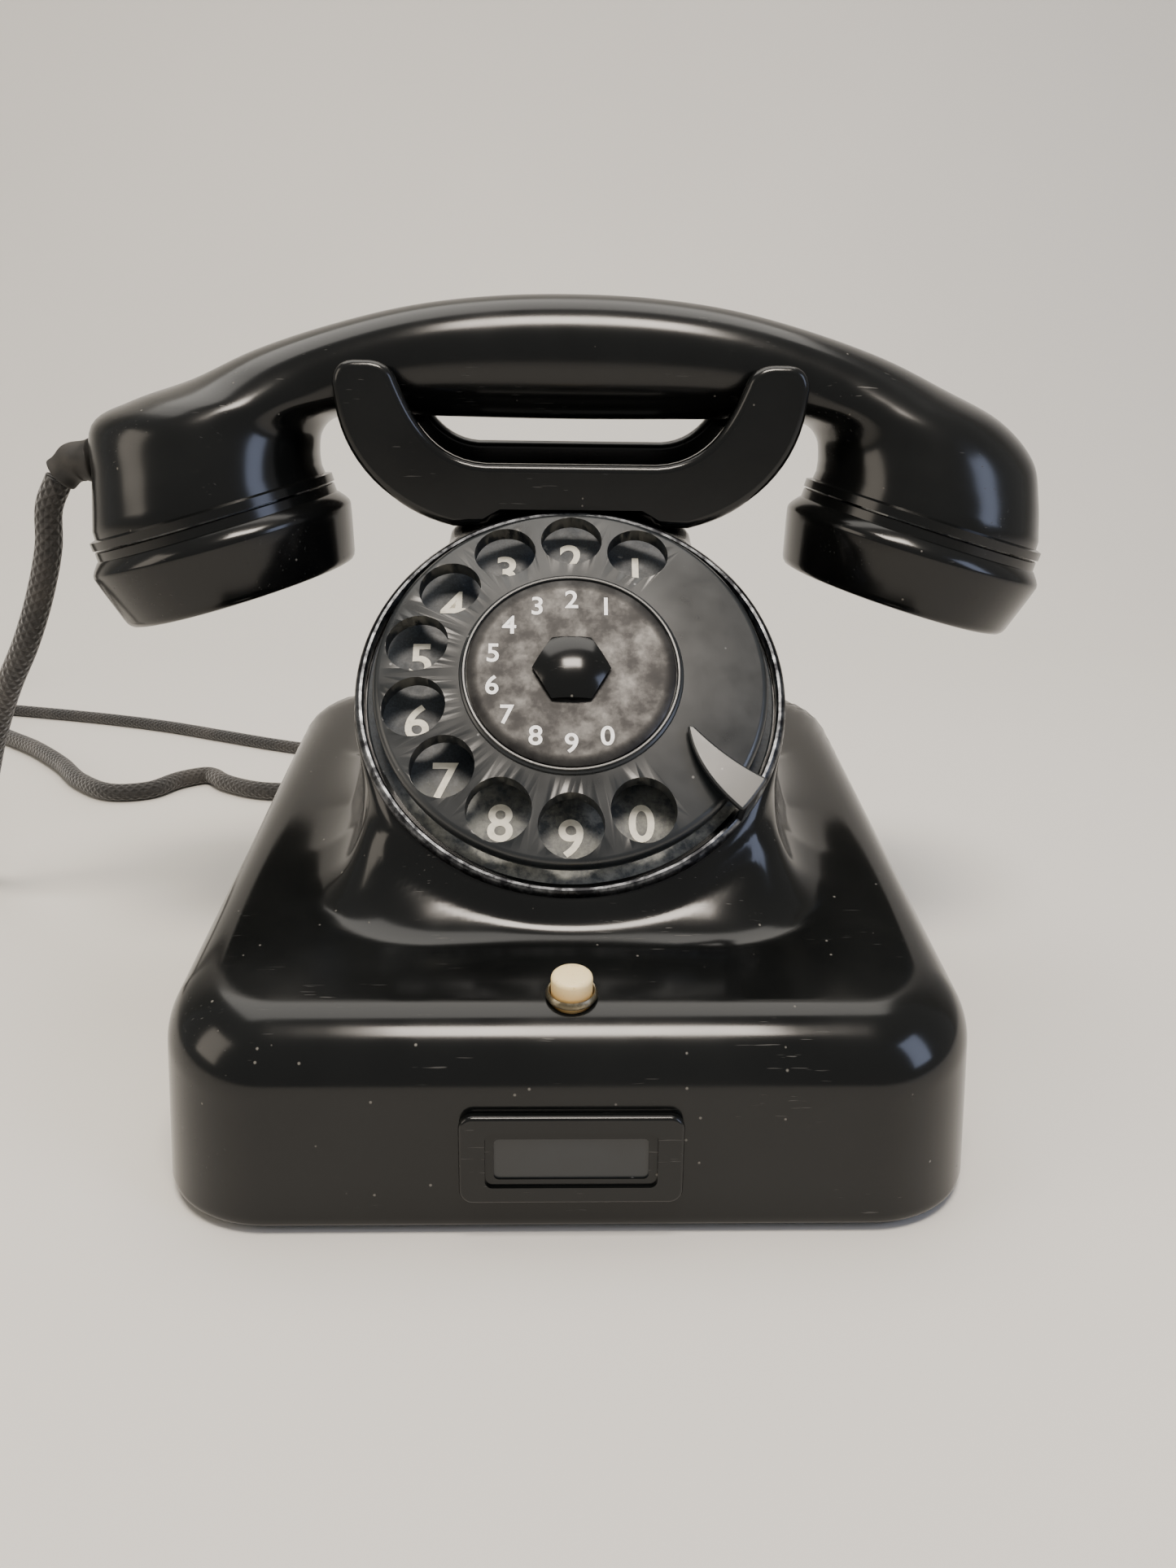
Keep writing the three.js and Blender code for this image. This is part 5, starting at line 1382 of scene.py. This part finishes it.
class TELEPHONE_OT_cradle(bpy.types.Operator):
    """Moulds the cradle: a front and a rear fork and the trough between them"""

    bl_idname = "telephone.cradle"
    bl_label = "Cradle"

    def execute(self, context):
        low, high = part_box("cradle")
        self.span, self.bottom, self.top = high.x / MM, low.z / MM, high.z / MM
        front, rear = low.y / MM, high.y / MM
        root = 28.0
        inset = 0.06
        forks = []
        for name, saddle, flat, at in (
            ("front", 14.4, self.span - 34.6, front + inset),
            ("rear", 17.9, self.span - 30.6, rear - 5 - inset),
        ):
            forks.append(self.plate(name, self.fork(root, saddle, flat), at, at + 5, 1.9))
        trough = self.plate("trough", self.trough(root), front + 1.5, rear - 1.5, 0.4)
        cradle = forks[0]
        boolean(cradle, forks[1], "UNION")
        boolean(cradle, trough, "UNION")
        drum = place(cylinder("clearance", 49.4, -40, 3, sides=128), DIAL)
        boolean(cradle, drum)
        bevel(cradle, 0.5, 2, 50)
        cradle.name = cradle.data.name = "cradle_forked"
        even(smooth(cradle, 45))
        dress(cradle, MATERIALS["handled"], "cradle_body", "black_bakelite", "cradle")
        self.spring()
        return {"FINISHED"}

    def spring(self):
        """A wound spring under the neck's roof, which the cradle presses shorter as it rises; here it is
        wound at one fixed length.
        """
        low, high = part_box("cradle_spring")
        middle = (low + high) / 2 / MM
        radius, wire, turns, turn_points = (high.x - low.x) / 2 / MM - 0.55, 0.5, 4, 24
        bottom, top = low.z / MM + 0.6, high.z / MM - 0.6
        path = []
        for i in range(turns * turn_points + 1):
            x, y = on_circle(radius, 360 * i / turn_points)
            level = bottom + (top - bottom) * i / (turns * turn_points)
            path.append((middle.x + x, middle.y + y, level))
        spring = swept("spring_wound", np.array(path), np.full(len(path), wire), 10)
        spring.data.materials.append(MATERIALS["steel"])
        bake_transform(spring)
        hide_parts("cradle_spring")

    def plate(self, name, outline, front, rear, edge):
        """An upright plate with rounded edges, from its outline seen from the front."""
        plate = prism("plate_" + name, outline, 0, rear - front)
        upright = Matrix.Translation((0, rear * MM, 0)) @ Matrix.Rotation(math.radians(90), 4, "X")
        bevel(plate, edge, 5, 60)
        return place(plate, upright)

    def fork(self, root, saddle, flat):
        """The outline of a fork. Only its right half is written out."""
        span, bottom = self.span, self.bottom
        level, shoulder = bottom + saddle, self.top - 9.3
        top = self.top
        half = [(0, bottom), (root * 0.5, bottom), (root, bottom)]
        flank = [(span - 11.6, bottom + 3.9), (span - 1.6, bottom + 14.4), (span - 0.3, shoulder)]
        half += bezier([half[-1], *flank])
        half += [(span, top - 5.5)]
        half += bezier([half[-1], (span, top - 0.4), (span - 4.9, top)], 8)
        half += [(span - 8.5, top)]
        half += bezier([half[-1], (span - 13.4, top - 0.4), (span - 14.6, top - 4.6)], 8)
        half += bezier([half[-1], (span - 17, shoulder - 1), (span - 21.1, level + 0.6), (flat, level)])
        half += [(flat * 0.5, level), (0, level)]
        return half + [(-x, z) for x, z in reversed(half[1:-1])]

    def trough(self, root):
        """The outline of the trough between the forks, as seen from the front."""
        span, bottom = self.span, self.bottom
        half = [(0, bottom), (root * 0.5, bottom), (root, bottom)]
        half += bezier(
            [half[-1], (span - 12.6, bottom + 3.4), (span - 6.6, bottom + 11.4), (span - 4.1, bottom + 19)]
        )
        half += [(span - 15.6, bottom + 22.4)]
        half += bezier([half[-1], (span - 22.6, bottom + 9.9), (span - 32.6, bottom + 5)])
        half += [(0, bottom + 5)]
        return half + [(-x, z) for x, z in reversed(half[1:-1])]


# ---- Handset ------------------------------------------------------------------------------------------
class TELEPHONE_OT_handset(bpy.types.Operator):
    """Lofts the handset's grip and turns its two screwed caps"""

    bl_idname = "telephone.handset"
    bl_label = "Handset"

    def execute(self, context):
        self.sizes = context.scene.tele_handset
        self.grip()
        for node, side in (("mouth_cap", -1), ("ear_cap", 1)):
            self.cap(node, side)
        return {"FINISHED"}

    def at_cup(self, side):
        """The frame of a cup, whose +Z points out of the cap's mouth."""
        s = self.sizes
        where = Matrix.Translation((side * s.cup_x * MM, s.middle_y * MM, s.cup_z * MM))
        return where @ Matrix.Rotation(side * s.tilt, 4, "Y") @ Matrix.Rotation(math.pi, 4, "X")

    def sections(self, corner):
        """From a cup's rim to the grip's middle: outer point, inner point and reach to either side."""
        s = self.sizes
        cos, sin = math.cos(s.tilt), math.sin(s.tilt)

        def across(radius, up):
            x, z = s.cup_x + up * sin, s.cup_z + up * cos
            return (x + radius * cos, z - radius * sin, x - radius * cos, z + radius * sin, radius)

        t, cup = s.top, s.cup
        outer, inner = s.cup_x + cup, s.cup_x - cup
        return [
            across(cup, 0.05),
            across(cup, 1.1),
            across(cup, 2.0),
            across(cup - 1.5, 2.5),
            across(cup - 1.7, 4.5),
            (outer - 2.8, t - 46 + corner * 0.4, inner + 4.2, t - 37, cup - 3.6),
            (outer - 5.4 + corner * 0.25, t - 36.5 + corner, inner + 3.4, t - 32.6, cup - 6.3),
            (outer - 14.5, t - 27.4 + corner * 0.4, inner + 0.6, t - 29.4, cup - 9.3),
            (91, t - 20.2, 54, t - 28, 18.2),
            (75.5, t - 13.3, 46.5, t - 27.9, 15.4),
            (57, t - 7.4, 38.5, t - 28, 13.9),
            (38, t - 3, 29, t - 28.2, 13.4),
            (19, t - 0.7, 15.5, t - 28.4, 13.2),
            (0, t - 0.05, 0, t - 28.5, 13.1),
        ]

    def grip(self):
        """A loft through the sections from one cup over the grip to the other."""
        left = [(-a, b, -c, d, e) for a, b, c, d, e in self.sections(5.5)]
        right = self.sections(0)[:-1][::-1]
        coarse = left + right
        sections = self.refined(coarse, (4, len(coarse) - 5), 6)
        sides = 72
        points = []
        for ax, az, bx, bz, reach in sections:
            for k in range(sides):
                angle = 2 * math.pi * k / sides
                share = math.cos(angle)
                x = (ax + bx) / 2 + (ax - bx) / 2 * share
                z = (az + bz) / 2 + (az - bz) / 2 * share
                points.append((x, self.sizes.middle_y + reach * math.sin(angle), z))
        faces = []
        for i in range(len(sections) - 1):
            for k in range(sides):
                a, b = i * sides + k, i * sides + (k + 1) % sides
                faces.append((a, b, b + sides, a + sides))
        last = (len(sections) - 1) * sides
        faces += [tuple(reversed(range(sides))), tuple(range(last, last + sides))]
        grip = outwards(mesh_object("grip_lofted", points, faces))
        for side in (-1, 1):
            cup = turned("cup_bore", [(0, -8), (25.5, -8), (25.5, 6), (0, 6)], 72)
            boolean(grip, place(cup, self.at_cup(side)))
        smooth(grip, 32)
        dress(grip, MATERIALS["handled"], "handset", "black_bakelite", "handset_handle")

    def refined(self, coarse, span, count):
        """More sections between the given ones, on a smooth curve within the span."""
        first, last = span
        rows = np.array(coarse, float)
        out = [tuple(row) for row in rows[:first]]
        inner = rows[first : last + 1]
        padded = np.vstack([2 * inner[0] - inner[1], inner, 2 * inner[-1] - inner[-2]])
        for i in range(1, len(padded) - 2):
            a, b, c, d = padded[i - 1 : i + 3]
            for k in range(count):
                t = k / count
                row = 0.5 * (
                    2 * b + (c - a) * t + (2 * a - 5 * b + 4 * c - d) * t * t + (3 * b - a - 3 * c + d) * t**3
                )
                out.append(tuple(row))
        out.append(tuple(inner[-1]))
        return out + [tuple(row) for row in rows[last + 1 :]]

    def cap(self, node, side):
        """A cap with a recessed band, a flared band, a crisp edge and a taper to its mouth."""
        s = self.sizes
        r, h = s.cap, s.cap_height
        outline = [(27, 0.35), (r - 2.7, 0.35), (r - 2.5, 0.6), (r - 2.4, 2.6), (r - 2.0, 2.9)]
        outline += [(r - 0.75, 4.4), (r - 0.2, 5.3), (r - 0.03, 6.0), (r - 0.08, 6.5), (r - 0.7, 9.2)]
        outline += [(r - 1.8, 13.4), (r - 3.0, 18.0), (r - 3.4, 18.9), (r - 4.1, 19.6), (r - 5.2, h - 0.1)]
        outline += [(r - 8, h - 0.25), (r - 12, h - 0.7), (0, h - 1.2), (0, h - 3.5), (26, h - 3.5)]
        cap = turned("screwed_" + node, outline, 128)
        for k in range(7):
            x, y = (0, 0) if k == 0 else on_circle(8.5, 60 * k)
            boolean(cap, cylinder("sound_hole", 1.6, h - 6, h + 2, x, y, 24))
        place(smooth(cap, 32), self.at_cup(side))
        dress(cap, MATERIALS["handled"], "handset", "black_bakelite", node)


# ---- Panel and start ----------------------------------------------------------------------------------
OPERATORS = [
    TELEPHONE_OT_materials,
    TELEPHONE_OT_stage,
    TELEPHONE_OT_cords,
    TELEPHONE_OT_housing,
    TELEPHONE_OT_dial,
    TELEPHONE_OT_button,
    TELEPHONE_OT_label,
    TELEPHONE_OT_cradle,
    TELEPHONE_OT_handset,
]


class TELEPHONE_PT_panel(bpy.types.Panel):
    """Lists the telephone's operators and their settings"""

    bl_idname = "TELEPHONE_PT_panel"
    bl_label = "Telephone"
    bl_space_type = "VIEW_3D"
    bl_region_type = "UI"
    bl_category = "Telephone"

    def draw(self, context):
        for operator in OPERATORS:
            self.layout.operator(operator.bl_idname)
        for key, group in SETTINGS.items():
            box = self.layout.box()
            for name in group.__annotations__:
                box.prop(getattr(context.scene, key), name)


def register():
    for group in SETTINGS.values():
        bpy.utils.register_class(group)
    for key, group in SETTINGS.items():
        setattr(bpy.types.Scene, key, bpy.props.PointerProperty(type=group))
    for kind in [*OPERATORS, TELEPHONE_PT_panel]:
        bpy.utils.register_class(kind)


def unregister():
    for kind in [TELEPHONE_PT_panel, *reversed(OPERATORS)]:
        bpy.utils.unregister_class(kind)
    for key in SETTINGS:
        delattr(bpy.types.Scene, key)
    for group in SETTINGS.values():
        bpy.utils.unregister_class(group)


def main():
    register()
    for operator in OPERATORS:
        group, name = operator.bl_idname.split(".")
        result = getattr(getattr(bpy.ops, group), name)()
        if result != {"FINISHED"}:
            raise RuntimeError(f"{operator.bl_label} did not finish")


if __name__ == "__main__":
    main()
